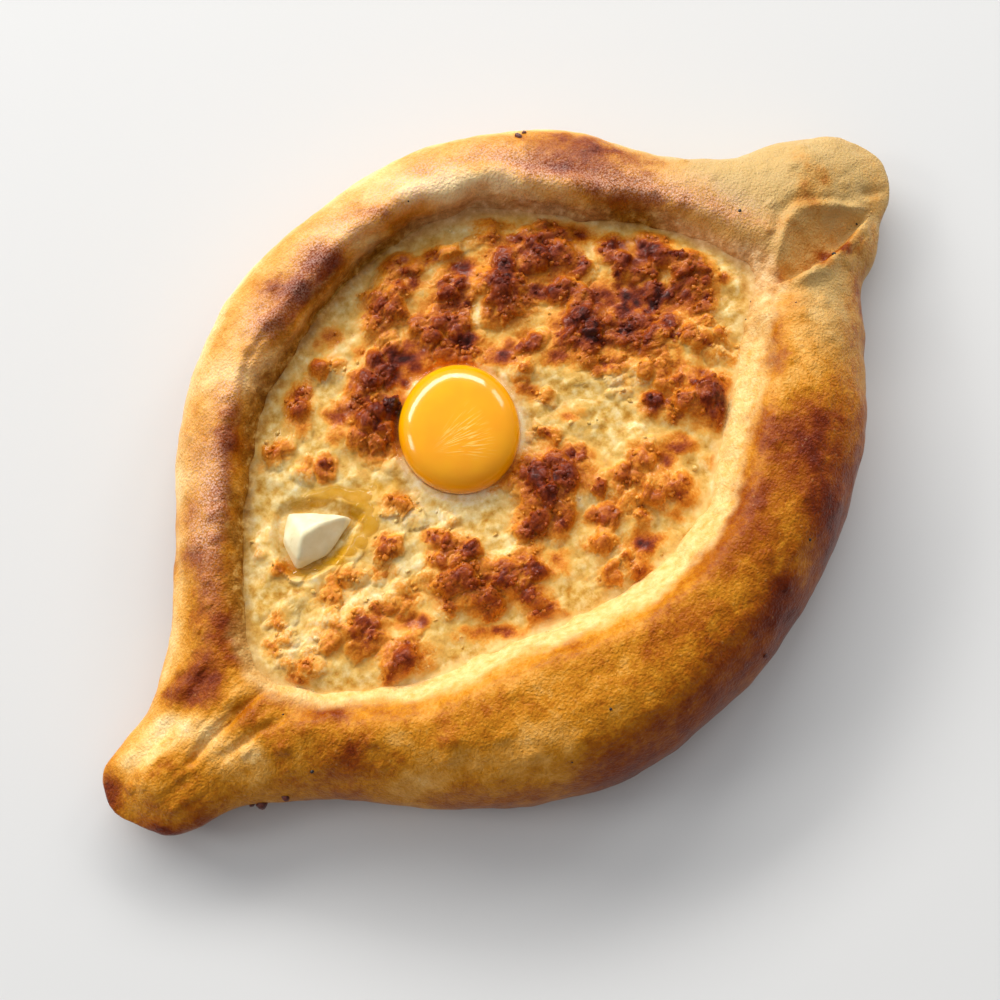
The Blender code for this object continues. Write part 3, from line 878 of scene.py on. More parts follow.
def crust_material():
    """The dough's finish, which reads the numbers bake, melt, and dust with its painted sheen."""
    material, tree, shader = new_material("baked_dough", Subsurface_Weight=0.06, Subsurface_Scale=1.0,
                                          Subsurface_Radius=DOUGH_SCATTER, IOR=1.21,
                                          Coat_Weight=0.07, Coat_Roughness=0.30)
    baked = number_of(tree, "bake")
    pimples = grain(tree, 0.8, 2, 0.5)
    freckles = maths(tree, "MULTIPLY_ADD", grain(tree, 1.6, 4, 0.65), 0.34, -0.17)
    blotches = maths(tree, "MULTIPLY_ADD", grain(tree, 4.0, 4, 0.7), 0.44, -0.22)
    freckles = maths(tree, "MULTIPLY", maths(tree, "ADD", freckles, blotches),
                     spread(tree, baked, 0.20, 0.55, 0.45, 1.0))
    clouds = maths(tree, "MULTIPLY_ADD", grain(tree, 7, 3), 0.16, -0.08)
    mixed = maths(tree, "ADD", maths(tree, "ADD", baked, freckles), clouds)
    mixed = maths(tree, "ADD", mixed, maths(tree, "MULTIPLY_ADD", pimples, -0.30, 0.15))
    colour = ramp(tree, mixed,
                  (0.00, tint(250, 220, 162)), (0.14, tint(242, 196, 122)), (0.28, tint(226, 162, 72)),
                  (0.42, tint(202, 130, 24)), (0.56, tint(170, 94, 4)), (0.70, tint(140, 62, 0)),
                  (0.84, tint(112, 38, 0)), (1.00, tint(78, 20, 2)))
    where = add(tree, "ShaderNodeTexCoord").outputs["Object"]
    place_x = add(tree, "ShaderNodeSeparateXYZ", Vector=where).outputs["X"]
    # At the folded end the paler dough turns a greyish tan, which is painted shade: the tone of pale dough
    # on the side away from the windows.
    pale = maths(tree, "MULTIPLY", spread(tree, place_x, 0.084, 0.104),
                 spread(tree, mixed, 0.62, 0.25, 0.0, 0.88))
    end_in_painted_shade = mixed_colour(tree, pale, colour, tint(192, 158, 98))
    smeared = mixed_colour(tree, number_of(tree, "melt"), end_in_painted_shade, smear_colour(tree, where))
    dots = add(tree, "ShaderNodeTexVoronoi", Vector=where, Scale=BLISTERS_PER_METRE, Randomness=1.0)
    chosen = add(tree, "ShaderNodeSeparateColor", Color=dots.outputs["Color"]).outputs[0]
    blister_and_glint = maths(tree, "MULTIPLY", spread(tree, dots.outputs["Distance"], 0.24, 0.05),
                    spread(tree, chosen, 0.62, 0.80))
    # The blisters' pale tint is a painted highlight that stands in for small glints on the crust's bubbles.
    glinted = mixed_colour(tree, maths(tree, "MULTIPLY", blister_and_glint, 0.12), smeared, tint(252, 206, 130))
    # Flour dusts the far crest, and its pink tint is also a painted sheen that stands in for the windows'
    # sheen there.
    dusty_sheen = maths(tree, "MULTIPLY", number_of(tree, "dust"),
                  spread(tree, grain(tree, 0.55, 3, 0.6), 0.44, 0.58, 0.05, 0.75))
    dusty_sheen = maths(tree, "MULTIPLY", dusty_sheen, spread(tree, mixed, 0.48, 0.72, 1.0, 0.62))
    powdered_and_sheened = mixed_colour(tree, dusty_sheen, glinted, tint(232, 186, 164))
    put(tree, shader.inputs["Base Color"], powdered_and_sheened)
    shine = spread(tree, maths(tree, "ADD", grain(tree, 3, 3), mixed), 0.6, 1.4, 0.44, 0.28)
    put(tree, shader.inputs["Roughness"], shine)
    bumped(tree, shader, (pimples, 0.9, 0.40), (grain(tree, 0.35, 2, 0.6), 0.4, 0.05),
           (grain(tree, 1.5, 3), 0.8, 0.30), (grain(tree, 3.2, 3), 0.7, 0.55), (blister_and_glint, 0.7, 0.2))
    return material


crust = add_piece("crust", skin("crust", crust_grid, bake=bake, melt=melt, dust=dust), crust_material())

# %% [markdown]
# ## The curds
# The filling is grated curd cheese. It melts together, and the crumbs that stand proud bake brown,
# from orange at their margins to nearly black on top. A texture could only colour them, but here the
# mesh, the colour and the loose grains all read one field, so they always agree. The field is worked out
# from three lists: the clumps, the warm tones between them, and the pale gaps.

# %% Clumps of browned curd
# The clumps: x, y, half-widths along and square to the slant, and how dark.
CURDS = [
    (38, 58, 6, 4, .55), (20, 62, 2, 2, .80), (25, 60, 4, 2, .35), (45, 49, 3, 3, .65),
    (55, 43, 6, 4, .60), (48, 39, 8, 6, .70), (34, 42, 3, 5, 1.0), (30, 38, 8, 9, .75),
    (24, 40, 3, 5, .75), (7, 67, 2, 2, .90), (10, 65, 5, 4, .70), (-2, 58, 5, 9, .65),
    (-4, 66, 2, 2, .45), (19, 49, 5, 6, .72), (22, 47, 2, 2, .90), (18, 43, 3, 2, .95),
    (7, 39, 9, 7, .75), (25, 20, 3, 4, .65), (54, 29, 2, 4, .75), (45, 24, 6, 3, .70),
    (-9, 47, 3, 2, .60), (-15, 45, 2, 2, .75), (-22, 42, 5, 4, .80), (-22, 31, 4, 4, 1.0),
    (-28, 29, 7, 7, .75), (65, 28, 4, 3, .75), (63, 20, 2, 4, .75), (75, 18, 4, 5, .85),
    (78, 12, 2, 2, .85), (78, 3, 6, 7, .65), (67, 6, 3, 2, .50), (41, 12, 8, 6, .95),
    (38, 0, 7, 3, .65), (59, -1, 8, 3, .75), (51, -2, 6, 4, .75), (62, -8, 5, 2, .65),
    (70, -10, 4, 4, .50), (66, -14, 4, 2, .70), (71, -16, 3, 2, .55), (70, -23, 3, 3, .40),
    (48, -12, 6, 4, .55), (41, -20, 3, 3, .85), (50, -17, 6, 4, .60), (56, -32, 6, 6, .85),
    (56, -24, 3, 3, .80), (46, -25, 4, 4, .65), (37, -9, 3, 2, .45), (18, 14, 3, 2, .45),
    (18, 4, 2, 2, .45), (10, -6, 4, 2, .60), (-8, -5, 2, 2, .85), (-14, -8, 2, 2, .70),
    (0, -18, 10, 9, .88), (-13, -25, 4, 4, .75), (-5, -29, 3, 3, .80), (13, -16, 3, 2, .90),
    (28, -30, 4, 4, .60), (17, -35, 4, 5, .72), (20, -31, 4, 3, .55), (11, -29, 2, 2, .80),
    (6, -36, 4, 3, .70), (16, -42, 2, 4, .60), (22, -41, 3, 4, .50), (29, -45, 4, 4, .68),
    (45, -46, 3, 2, .60), (39, -53, 2, 3, .40), (0, -42, 5, 2, .50), (-4, -51, 3, 3, .50),
    (4, -52, 4, 2, .50), (4, -57, 3, 3, .60), (-20, -31, 4, 3, .80), (-21, -36, 4, 2, .85),
    (-29, -31, 4, 4, .80), (-27, -39, 4, 3, .72), (-27, -46, 3, 3, .80), (-31, -52, 4, 2, .75),
    (-49, -2, 3, 3, .75), (-54, -7, 3, 2, .70), (-55, -15, 4, 4, .70), (-61, -15, 3, 2, .95),
    (-65, -4, 6, 4, .55), (-68, -6, 7, 2, .60), (-70, -16, 5, 6, .80), (-79, -11, 5, 4, .75),
    (-72, -8, 4, 3, .55), (-36, -14, 3, 3, .70), (-31, -18, 2, 2, .90), (-41, -15, 4, 4, .60),
    (-46, -26, 2, 3, .65), (-37, -25, 10, 7, .65), (-38, -34, 4, 3, .75), (-65, -30, 6, 4, .72),
    (-69, -30, 3, 3, .70), (-73, -33, 2, 2, .65), (-67, -39, 2, 2, .45), (-93, -3, 3, 2, .65),
    (-90, -4, 2, 3, .65), (-89, -13, 5, 3, .50), (-94, -15, 2, 2, .75), (-88, 3, 2, 2, .50),
    (-79, 23, 2, 2, .40), (-77, 13, 2, 2, .50), (-28, 54, 4, 3, .75), (-41, 50, 3, 6, .78),
    (-56, 43, 3, 2, .65), (-53, 32, 2, 3, .65), (-48, 29, 2, 3, .80), (-71, 24, 3, 3, .65),
    (-39, 6, 4, 3, .65), (-37, 2, 3, 3, .55), (-36, -8, 2, 2, .90), (-30, -7, 3, 3, .50),
    (67, 13, 3, 3, .75), (74, -4, 3, 3, .80), (50, 5, 4, 3, .95), (8, 30, 3, 3, .75),
    (-16, 39, 2, 3, .85), (-27, 38, 3, 3, .80),
]
# Broad warm tones between the clumps, with how strong each is.
TOASTED = [
    (42, 42, 26, 18, .55), (66, 14, 18, 18, .55), (54, -12, 18, 16, .48), (8, 46, 20, 12, .45),
    (-26, 34, 12, 12, .34), (4, -20, 18, 12, .30), (-38, -28, 16, 12, .34), (-74, -14, 14, 12, .32),
    (20, -36, 16, 10, .38), (-66, -32, 10, 6, .36), (62, 30, 14, 8, .50), (-10, 54, 16, 10, .32),
    (-4, -46, 16, 8, .28), (60, 9, 17, 8, 1.3), (69, 22, 14, 7, 1.1), (78, 4, 9, 6, .8),
    (-8, 40, 10, 7, 1.2), (-33, 39, 6, 4, .95), (9, 59, 7, 5, 1.1), (60, 38, 8, 5, .85),
    (26, 52, 5, 4, 1.0), (16, 24, 10, 5, .95), (30, 12, 11, 5, .95), (56, 0, 12, 4, 1.1),
    (10, 33, 5, 4, 1.1), (38, 30, 7, 4, 1.0), (39, 8, 9, 4, 1.1), (-12, 37, 6, 4, 1.3),
    (16, 8, 5, 5, .6), (20, -5, 6, 4, .50), (38, -34, 8, 4, .60), (58, -22, 6, 4, .60),
    (10, -49, 8, 4, 1.0), (31, -35, 5, 4, .8), (-13, -38, 5, 5, .55), (-43, -41, 11, 3, .85),
    (-24, -50, 7, 3, .60), (-58, -23, 8, 3, .90), (-22, 62, 8, 5, .60), (24, -50, 7, 3, .45),
    (-68, -1, 4, 4, .36), (-62, 43, 5, 4, .40), (-39, 36, 4, 4, .50), (-17, 51, 5, 4, .50),
    (86, -3, 4, 3, .60),
]
# Pale gaps where the clumps melted apart, with how bare each is.
BARE = [
    (-20, -8, 13, 5, 1.0), (-33, -3, 8, 5, .8), (3, -3, 5, 4, .5), (-41, 2, 6, 5, .7),
    (-47, -9, 6, 5, .9), (-58, -11, 7, 5, 1.0), (-67, -7, 5, 5, .7), (-86, -7, 9, 5, .9),
    (-28, 51, 5, 5, .8), (34, 62, 8, 3, .9), (4, 67, 7, 4, .6), (5, -29, 6, 4, .8),
    (16, -36, 4, 4, .6), (68, -13, 4, 4, .4), (45, -14, 5, 5, .4), (36, -6, 5, 5, .6),
    (-62, -36, 5, 4, .3), (35, -47, 4, 5, .3), (-70, 23, 9, 8, .9), (-57, 32, 7, 5, .8),
    (5, -9, 3, 3, .4), (18, 55, 3, 3, .5), (-8, -12, 3, 3, .5), (12, -49, 3, 3, .4),
    (20, 38, 2, 7, .8), (46, 51, 4, 2, .7), (60, 31, 2, 6, .8), (11, 54, 2, 3, .7),
    (-35, 57, 3, 2, .5), (-57, 39, 2, 3, .5), (-22, -26, 7, 4, .8), (-76, -8, 6, 4, .7),
]


def curd_field(x, y):
    """For each place: how far it is inside a clump, how dark the clump and its halo are, how warm the
    cheese round it is, and how much of all this the pale gaps leave."""
    spots = in_plan(x, y)
    bx = x + 1.2 * rough(spots, 4, 21)
    by = y + 1.2 * rough(spots, 4, 23)
    dark = np.zeros_like(x)
    halo = np.zeros_like(x)
    clump = np.zeros_like(x)
    for cx, cy, wide, tall, amount in CURDS:
        u, v = slanted(bx, by, cx, cy)
        off = np.hypot(u / (wide + 0.4), v / (tall + 0.4))
        clump = np.maximum(clump, smoothstep(1.5, 0.6, off))
        dark = np.maximum(dark, amount * smoothstep(1.8, 0.2, off))
        halo = np.maximum(halo, amount * smoothstep(2.9, 0.5, off))
    warm = np.zeros_like(x)
    for cx, cy, wide, tall, amount in TOASTED:
        u, v = slanted(bx, by, cx, cy)
        warm = np.maximum(warm, amount * np.exp(-((u / wide) ** 2 + (v / tall) ** 2)))
    kept = np.ones_like(x)
    for cx, cy, wide, tall, amount in BARE:
        u, v = slanted(bx, by, cx, cy)
        kept *= 1 - 0.85 * amount * np.exp(-((u / wide) ** 2 + (v / tall) ** 2))
    return clump * kept, dark * kept, halo * kept, warm * kept, kept


print("clumps:", len(CURDS), "- warm tones:", len(TOASTED), "- pale gaps:", len(BARE))

# %% [markdown]
# ## The surface of the cheese
# The cheese lies level where it melted, swells where curd baked proud, and gives way under the yolk and
# the butter. All of that is worked out first, without any curds. The yolk is kept as one set of sizes,
# because its seat, its rim of egg white and the yolk itself all need them.

# %% Mounds, yolk and butter
# Mounds of curd that baked proud of the cheese: x, y, radius, height.
CURD_MOUNDS = [(49, 41, 13, 3.0), (31, 39, 11, 3.6), (20, 48, 8, 2.6), (5, 61, 10, 2.6), (7, 39, 10, 2.6),
               (-22, 42, 7, 2.2), (-28, 31, 9, 3.0), (43, 12, 11, 3.6), (65, 24, 8, 2.4),
               (77, 14, 8, 2.6), (78, 3, 9, 2.4), (57, -4, 11, 3.0), (68, -13, 8, 2.4),
               (55, -28, 10, 3.2), (0, -19, 11, 4.0), (20, -34, 9, 2.2), (29, -45, 7, 1.8),
               (-24, -34, 9, 3.0), (-37, -26, 12, 2.6), (-73, -13, 10, 3.2), (-67, -30, 7, 2.4),
               (-91, -5, 6, 1.6), (-41, 50, 6, 2.2), (-28, 55, 5, 2.2)]
# The yolk's middle, its half-lengths, its heights above and below its widest line, and its turn.
YOLK = dict(x=-9.5, y=12.0, z=27.5, long=20.0, wide=18.5, up=8.0, down=8.0, turn=50.0)
BUTTER_FOOT_Z = 24.0
# Corners of the butter knob's foot.
BUTTER_FOOT = [(-65, 26), (-72, 20), (-74, 10.5), (-64, 8), (-56, 10.5), (-51, 12)]


def yolk_radius(x, y):
    """0 at the yolk's middle and 1 at its widest outline."""
    turn = math.radians(YOLK["turn"])
    dx, dy = x - YOLK["x"], y - YOLK["y"]
    u = (dx * math.cos(turn) + dy * math.sin(turn)) / YOLK["long"]
    v = (dy * math.cos(turn) - dx * math.sin(turn)) / YOLK["wide"]
    return np.hypot(u, v)


def beyond_butter(x, y):
    """Distance outside the foot of the knob of butter, and 0 on it."""
    foot = smooth_loop(BUTTER_FOOT, 4)
    middle = foot.mean(0)
    angle = np.arctan2(*(foot - middle).T[::-1])
    order = np.argsort(angle)
    reach = np.linalg.norm(foot - middle, axis=1)
    dx, dy = x - middle[0], y - middle[1]
    here = np.interp(np.arctan2(dy, dx), angle[order], reach[order], period=2 * math.pi)
    return np.clip(np.hypot(dx, dy) / here - 1, 0, None) * here


def melted_level(x, y, depth):
    """Level of the melted cheese without its curds, with the seats of the yolk and the butter."""
    level = CHEESE_Z + 1.5 * smoothstep(0, 16, depth) + 0.5 * np.exp(-np.clip(depth + 0.8, 0, 9) / 1.2)
    for cx, cy, radius, height in CURD_MOUNDS:
        level = level + 0.8 * mound(x, y, cx, cy, radius, height) * smoothstep(0, 6, depth)
    rho = yolk_radius(x, y)
    under_yolk = YOLK["z"] - YOLK["down"] * np.sqrt(np.clip(1 - rho**2, 0, 1))
    level = np.minimum(level, under_yolk - 2 * GAP + 14 * np.clip(rho - 1, 0, 1))
    return np.minimum(level, BUTTER_FOOT_Z - GAP + 0.8 * np.clip(beyond_butter(x, y) - 1, 0, 20))


print("mounds of curd:", len(CURD_MOUNDS))

# %% [markdown]
# ## Where the cheese is wet
# Two wet things lie on the cheese. Butter runs off its knob into the hollows, and a rim of egg white
# stays round the yolk. Curds are lower and crumbs fewer there, so the cheese has to know where they are
# before it gets its curds. Both are numbers from 0 to 1 with an uneven shore.

# %% Butter and egg white on the cheese
# Where butter ran, along the knob's foot, round its tip and towards the yolk: x, y, half-widths, how wet.
SOAKED = [(-48.5, 6.5, 2.4, 3.0, 1), (-53.5, 5, 2.4, 2.6, 1), (-58.5, 5, 3.0, 2.0, 1),
          (-63.5, 5.5, 3.0, 1.7, 1), (-68.5, 7, 2.8, 1.4, .9), (-73, 9.5, 2.7, 1.2, .8),
          (-47.5, 11.5, 3.6, 3.6, .9), (-46, 16.5, 5.5, 2.3, .9), (-50, 21, 4.3, 2.0, .9),
          (-55.5, 23.5, 4.3, 2.0, .8), (-61, 25.5, 3.7, 1.8, .5), (-38.5, 12.5, 4.3, 2.7, .5)]


def buttery(x, y):
    """1 where melted butter lies on the cheese, and 0 away from it."""
    spots = in_plan(x, y)
    bx, by = x + rough(spots, 3.5, 52), y + rough(spots, 3.5, 53)
    wet = np.zeros_like(x)
    for cx, cy, wide, tall, amount in SOAKED:
        u, v = slanted(bx, by, cx, cy)
        wet = np.maximum(wet, amount * smoothstep(1.5, 0.6, np.hypot(u / wide, v / tall)))
    return wet


def eggy(x, y):
    """1 at the yolk's rim, falling to 0 where the egg white ends."""
    ends = 1.30 + 0.16 * rough(in_plan(x, y), 8, 54)
    return smoothstep(ends, 1.02, yolk_radius(x, y))


print("places where butter soaked in:", len(SOAKED))

# %% [markdown]
# ## Curds on the cheese
# Three sizes of pebble lie over each other. They are tall inside the clumps and low between them, where
# the cheese has melted flat. The same pebbles say how brown each place is, because the tops of the curds
# stood nearest the fire. Scattered balls would make curds too, but they would look laid on, not baked in.

# %% Curds
# The three sizes of curd: how far apart, seed, and how tall they stand.
CURD_SIZES = [(5.6, 31, 3.0), (3.2, 32, 1.5), (1.9, 33, 0.35)]
# What the cheese keeps for each vertex: how brown, how high, how much like the crust beside it, how
# many loose crumbs lie there, and how much butter.
CHEESE_NUMBERS = ("toasted", "high", "shore", "crumbs", "buttery")


def cheese_top(x, y, depth):
    """Level of the cheese with its curds, then its numbers in the order of CHEESE_NUMBERS."""
    clump, dark, halo, warm, kept = curd_field(x, y)
    calm = smoothstep(1.02, 1.14, yolk_radius(x, y)) * smoothstep(0.5, 4, beyond_butter(x, y))
    spots = in_plan(x, y)
    wx, wy = x + rough(spots, 3.4, 34), y + rough(spots, 3.4, 35)
    wet = np.maximum(buttery(x, y), 0.8 * eggy(x, y))
    relief = np.zeros_like(x)
    toast = np.zeros_like(x)
    high = np.zeros_like(x)
    for size, seed, tall in CURD_SIZES:
        gap, own, at = pebbles(wx, wy, size, seed)
        here, deep = curd_field(at[:, 0], at[:, 1])[:2]
        ball = dome(gap, 0.58 + 0.30 * own)
        melted = 0.16 * smoothstep(0.9, 0.0, gap) * (0.5 + own)
        stands = (0.35 + 0.75 * own) * here
        relief += tall * (ball * stands + melted * (1 - here) * (1 - 0.6 * wet) * (0.3 + 0.7 * kept))
        toast = np.maximum(toast, ball * deep * (0.50 + 0.55 * own))
        high += (ball * stands + melted) * 0.45
    high += 0.45 * smoothstep(1.25, 1.02, yolk_radius(x, y)) + 0.30 * (1 - kept)
    relief = (relief + 1.1 * rough(spots, 11, 36) + 0.6 * rough(spots, 5, 37)) * calm - 0.6
    level = melted_level(x, y, depth) + relief * smoothstep(0, 5, depth)
    patchy = np.clip(0.78 + 0.4 * rough(spots, 5.5, 25) + 0.4 * rough(spots, 2.4, 26), 0.35, 1.3)
    toasted = np.maximum(0.46 * halo, 0.92 * warm * patchy)
    toasted = toasted + 0.86 * toast**1.3 * (1.2 - toasted)
    shore = smoothstep(4.6 - 1.6 * smoothstep(0, -30, y) + 2.4 * rough(spots, 5, 27), -1.2, depth)
    crumbly = (0.9 * clump + 0.10) * calm * (1 - 0.8 * wet * (1 - clump)) * smoothstep(0.5, 3, depth)
    return level, toasted * (1 - shore), high, shore, np.clip(crumbly, 0, 1), buttery(x, y)


print("numbers kept on the cheese:", ", ".join(CHEESE_NUMBERS))

# %% [markdown]
# ## One mesh for the cheese
# The rings fan out from the yolk to the crust, because the yolk presses a neat seat into the cheese and a
# square grid would leave steps round it. They run a little way into the dough, and then go back under the
# filling along the bowl, so that the cheese is closed and solid.

# %% Shape the cheese
CHEESE_SEGMENTS = 640
CHEESE_RINGS = 136      # rings between the yolk and the crust
INTO_DOUGH = 2.5        # how far the cheese runs into the dough
SEAT_SHARES = (0, 0.5, 0.8, 0.93, 1.0)      # rings under the yolk, as shares of its outline
UNDER_DEPTHS = (2, 5, 9, BOWL_ROUND + 1)    # rings under the filling, as distances from its edge


def cheese_rings():
    """Rings from the yolk's middle out to the crust, then under the filling, with their numbers."""
    edge_line, _ = stations(INNER_NOSE, INNER_FAR, INNER_END, INNER_NEAR, CHEESE_SEGMENTS)
    edge = inset(edge_line, -INTO_DOUGH)
    middle = np.array([YOLK["x"], YOLK["y"]])
    spoke = edge - middle
    seat = spoke / yolk_radius(*edge.T)[:, None]
    lines = [middle + seat * rho for rho in SEAT_SHARES]
    for step in range(1, CHEESE_RINGS + 1):
        share = step / CHEESE_RINGS
        lines.append(middle + seat + (spoke - seat) * share**1.1)      # a little closer by the yolk
    rings, numbers = [], []
    for line in lines:
        level, *fields = cheese_top(line[:, 0], line[:, 1], distance(line, inner_loop))
        rings.append(ring_at(line, level))
        numbers.append(fields)
    for depth in UNDER_DEPTHS:
        rings.append(ring_at(inset(edge_line, depth), bowl(depth - 0.2) + GAP))
    rings.append(ring_at(shrunk(inset(edge_line, BOWL_ROUND + 1), 0), BOWL_FLOOR_Z + GAP))
    numbers += [np.zeros_like(numbers[-1])] * (len(rings) - len(numbers))
    return np.array(rings), np.array(numbers)


cheese_grid, cheese_numbers = cheese_rings()
print("cheese height, mm:", round(float(cheese_grid[..., 2].max()), 1))

# %% [markdown]
# ## The cheese's finish
# Melted curd is pale and wet, with some light passing through it. The number for brown comes from the
# clumps, and the tops of pebbles get more of it than the hollows between them, which stay orange. The
# loose crumbs get a copy of the same finish, so they can't stand out from the cheese they lie on.

# %% Cheese material
CURD_SCATTER = (0.003, 0.0018, 0.0007)      # how far red, green and blue light travel inside, in metres


def cheese_material(name):
    """The finish of melted curd, which reads the numbers that the cheese keeps."""
    material, tree, shader = new_material(name, Subsurface_Weight=0.12, Subsurface_Scale=1.0,
                                          Subsurface_Radius=CURD_SCATTER, IOR=1.25,
                                          Coat_Weight=0.18, Coat_Roughness=0.12)
    toasted, high = number_of(tree, "toasted"), number_of(tree, "high")
    speck = maths(tree, "MULTIPLY_ADD", grain(tree, 0.9, 4, 0.65), 0.34, -0.17)
    cloud = maths(tree, "MULTIPLY_ADD", grain(tree, 3.6, 3), 0.30, -0.15)
    uneven = maths(tree, "MULTIPLY", maths(tree, "ADD", speck, cloud),
                   spread(tree, toasted, 0.0, 0.4, 0.5, 1.0))
    mixed = maths(tree, "ADD", toasted, uneven)
    baked = ramp(tree, mixed,
                 (0.10, tint(236, 198, 116)), (0.24, tint(230, 166, 68)), (0.38, tint(214, 130, 30)),
                 (0.52, tint(182, 94, 8)), (0.66, tint(148, 60, 0)), (0.82, tint(110, 32, 0)),
                 (1.00, tint(62, 14, 2)))
    wet = maths(tree, "ADD", maths(tree, "MULTIPLY", high, 0.45), grain(tree, 3.2, 4, 0.6))
    pale = ramp(tree, wet, (0.36, tint(180, 120, 26)), (0.52, tint(210, 164, 76)),
                (0.70, tint(233, 205, 138)), (0.95, tint(246, 236, 202)))
    blended = mixed_colour(tree, spread(tree, mixed, 0.06, 0.30), pale, baked)
    where = add(tree, "ShaderNodeTexCoord").outputs["Object"]
    # The shore takes the smear's colour, with the painted shade of its honey on the far side.
    shored = mixed_colour(tree, number_of(tree, "shore"), blended, smear_colour(tree, where))
    soaked = maths(tree, "MULTIPLY", number_of(tree, "buttery"),
                   spread(tree, mixed, 0.7, 0.2, 0.2, 0.85))
    golden = mixed_colour(tree, soaked, shored, tint(212, 152, 8))
    put(tree, shader.inputs["Base Color"], golden)
    shine = spread(tree, maths(tree, "ADD", grain(tree, 1.4, 3), mixed), 0.4, 1.4, 0.26, 0.46)
    put(tree, shader.inputs["Roughness"], shine)
    granules = maths(tree, "MULTIPLY", grain(tree, 0.9, 3, 0.6),
                     spread(tree, toasted, 0.15, 0.5, 0.18, 1.0))
    bumped(tree, shader, (grain(tree, 0.45, 4, 0.7), 0.5, 0.10), (granules, 0.9, 0.5))
    return material


cheese_fields = {name: cheese_numbers[:, i] for i, name in enumerate(CHEESE_NUMBERS)}
cheese = add_piece("cheese", skin("cheese", cheese_grid, **cheese_fields), cheese_material("melted_curd"))

# %% [markdown]
# ## Loose crumbs of curd
# Crumbs that never melted in lie on the cheese, and most of them on the browned clumps. There are
# thousands, so they are scattered by Geometry Nodes: points are dealt over the cheese where its crumb
# number is high, each gets a small lumpy ball, and the balls keep the colour numbers of the place they
# lie on. At the end the copies are made real, because only a real mesh can be handed over.

# %% Scatter tree
SMALLEST_SQUASH, LARGEST_SQUASH = (0.75, 0.75, 0.6), (1.25, 1.25, 1.0)
SMALLEST_TURN, LARGEST_TURN = (-0.5, -0.5, 0.0), (0.5, 0.5, 6.28)      # radians
SQUASH_SEED, TURN_SEED = 3, 5
LUMPS_PER_METRE = 1100.0
LUMP_DEPTH = 0.0012     # how far the noise may move a ball's surface, in metres


def random_vector(tree, smallest, largest, seed):
    """A random direction or size for each crumb, between two limits."""
    return add(tree, "FunctionNodeRandomValue", {"data_type": "FLOAT_VECTOR"}, i0=smallest, i1=largest,
               Seed=seed).outputs[0]


def scatter_tree(name, material):
    """Named inputs: how many to a square metre, the smallest and largest radius, the lowest brown
    number that gets crumbs, and the seed."""
    tree = bpy.data.node_groups.new(name, "GeometryNodeTree")
    face = tree.interface
    face.new_socket("Cheese", in_out="INPUT", socket_type="NodeSocketGeometry")
    for label in ("Crumbs per square metre", "Smallest radius", "Largest radius", "Lowest brown"):
        face.new_socket(label, in_out="INPUT", socket_type="NodeSocketFloat")
    face.new_socket("Seed", in_out="INPUT", socket_type="NodeSocketInt")
    face.new_socket("Crumbs", in_out="OUTPUT", socket_type="NodeSocketGeometry")
    given = tree.nodes.new("NodeGroupInput").outputs
    crumbs, brown = (
        add(tree, "GeometryNodeInputNamedAttribute", {"data_type": "FLOAT"}, Name=kept).outputs[0]
        for kept in ("crumbs", "toasted")
    )
    browned = maths(tree, "GREATER_THAN", brown, given["Lowest brown"])
    density = maths(tree, "MULTIPLY", crumbs, given["Crumbs per square metre"])
    density = maths(tree, "MULTIPLY", density, browned)
    dealt = add(tree, "GeometryNodeDistributePointsOnFaces", {"distribute_method": "RANDOM"},
                Mesh=given["Cheese"], Density=density, Seed=given["Seed"])
    ball = add(tree, "GeometryNodeMeshUVSphere", Segments=8, Rings=5, Radius=1.0)
    size = add(tree, "FunctionNodeRandomValue", {"data_type": "FLOAT"}, i2=given["Smallest radius"],
               i3=given["Largest radius"], Seed=given["Seed"])
    squash = random_vector(tree, SMALLEST_SQUASH, LARGEST_SQUASH, SQUASH_SEED)
    scale = add(tree, "ShaderNodeVectorMath", {"operation": "SCALE"}, i0=squash, Scale=size.outputs[1])
    turn = random_vector(tree, SMALLEST_TURN, LARGEST_TURN, TURN_SEED)
    placed = add(tree, "GeometryNodeInstanceOnPoints", Points=dealt.outputs["Points"],
                 Instance=ball.outputs["Mesh"], Rotation=turn, Scale=scale.outputs[0])
    real = add(tree, "GeometryNodeRealizeInstances", Geometry=placed.outputs[0])
    spot = add(tree, "GeometryNodeInputPosition").outputs[0]
    noise = add(tree, "ShaderNodeTexNoise", Vector=spot, Scale=LUMPS_PER_METRE, Detail=1.0)
    middle = add(tree, "ShaderNodeVectorMath", {"operation": "SUBTRACT"}, i0=noise.outputs["Color"],
                 i1=(0.5, 0.5, 0.5))
    push = add(tree, "ShaderNodeVectorMath", {"operation": "SCALE"}, i0=middle.outputs[0],
               Scale=LUMP_DEPTH)
    lumpy = add(tree, "GeometryNodeSetPosition", Geometry=real.outputs[0], Offset=push.outputs[0])
    smooth = add(tree, "GeometryNodeSetShadeSmooth", Geometry=lumpy.outputs[0])
    coloured = add(tree, "GeometryNodeSetMaterial", Geometry=smooth.outputs[0], Material=material)
    result = tree.nodes.new("NodeGroupOutput")
    tree.links.new(coloured.outputs[0], result.inputs[0])
    return tree


print("a crumb's lumps are about", round(1 / LUMPS_PER_METRE / MM, 1), "mm apart")

# %% [markdown]
# ## Dealing the crumbs out
# The tree runs on a copy of the cheese. Its inputs are set by their identifiers before it is worked out
# for the first time, and the result is kept as a plain mesh, so no modifier is left. Browned crumbs lie
# only where the cheese is brown, and pale ones all over.

# %% Scatter the crumbs


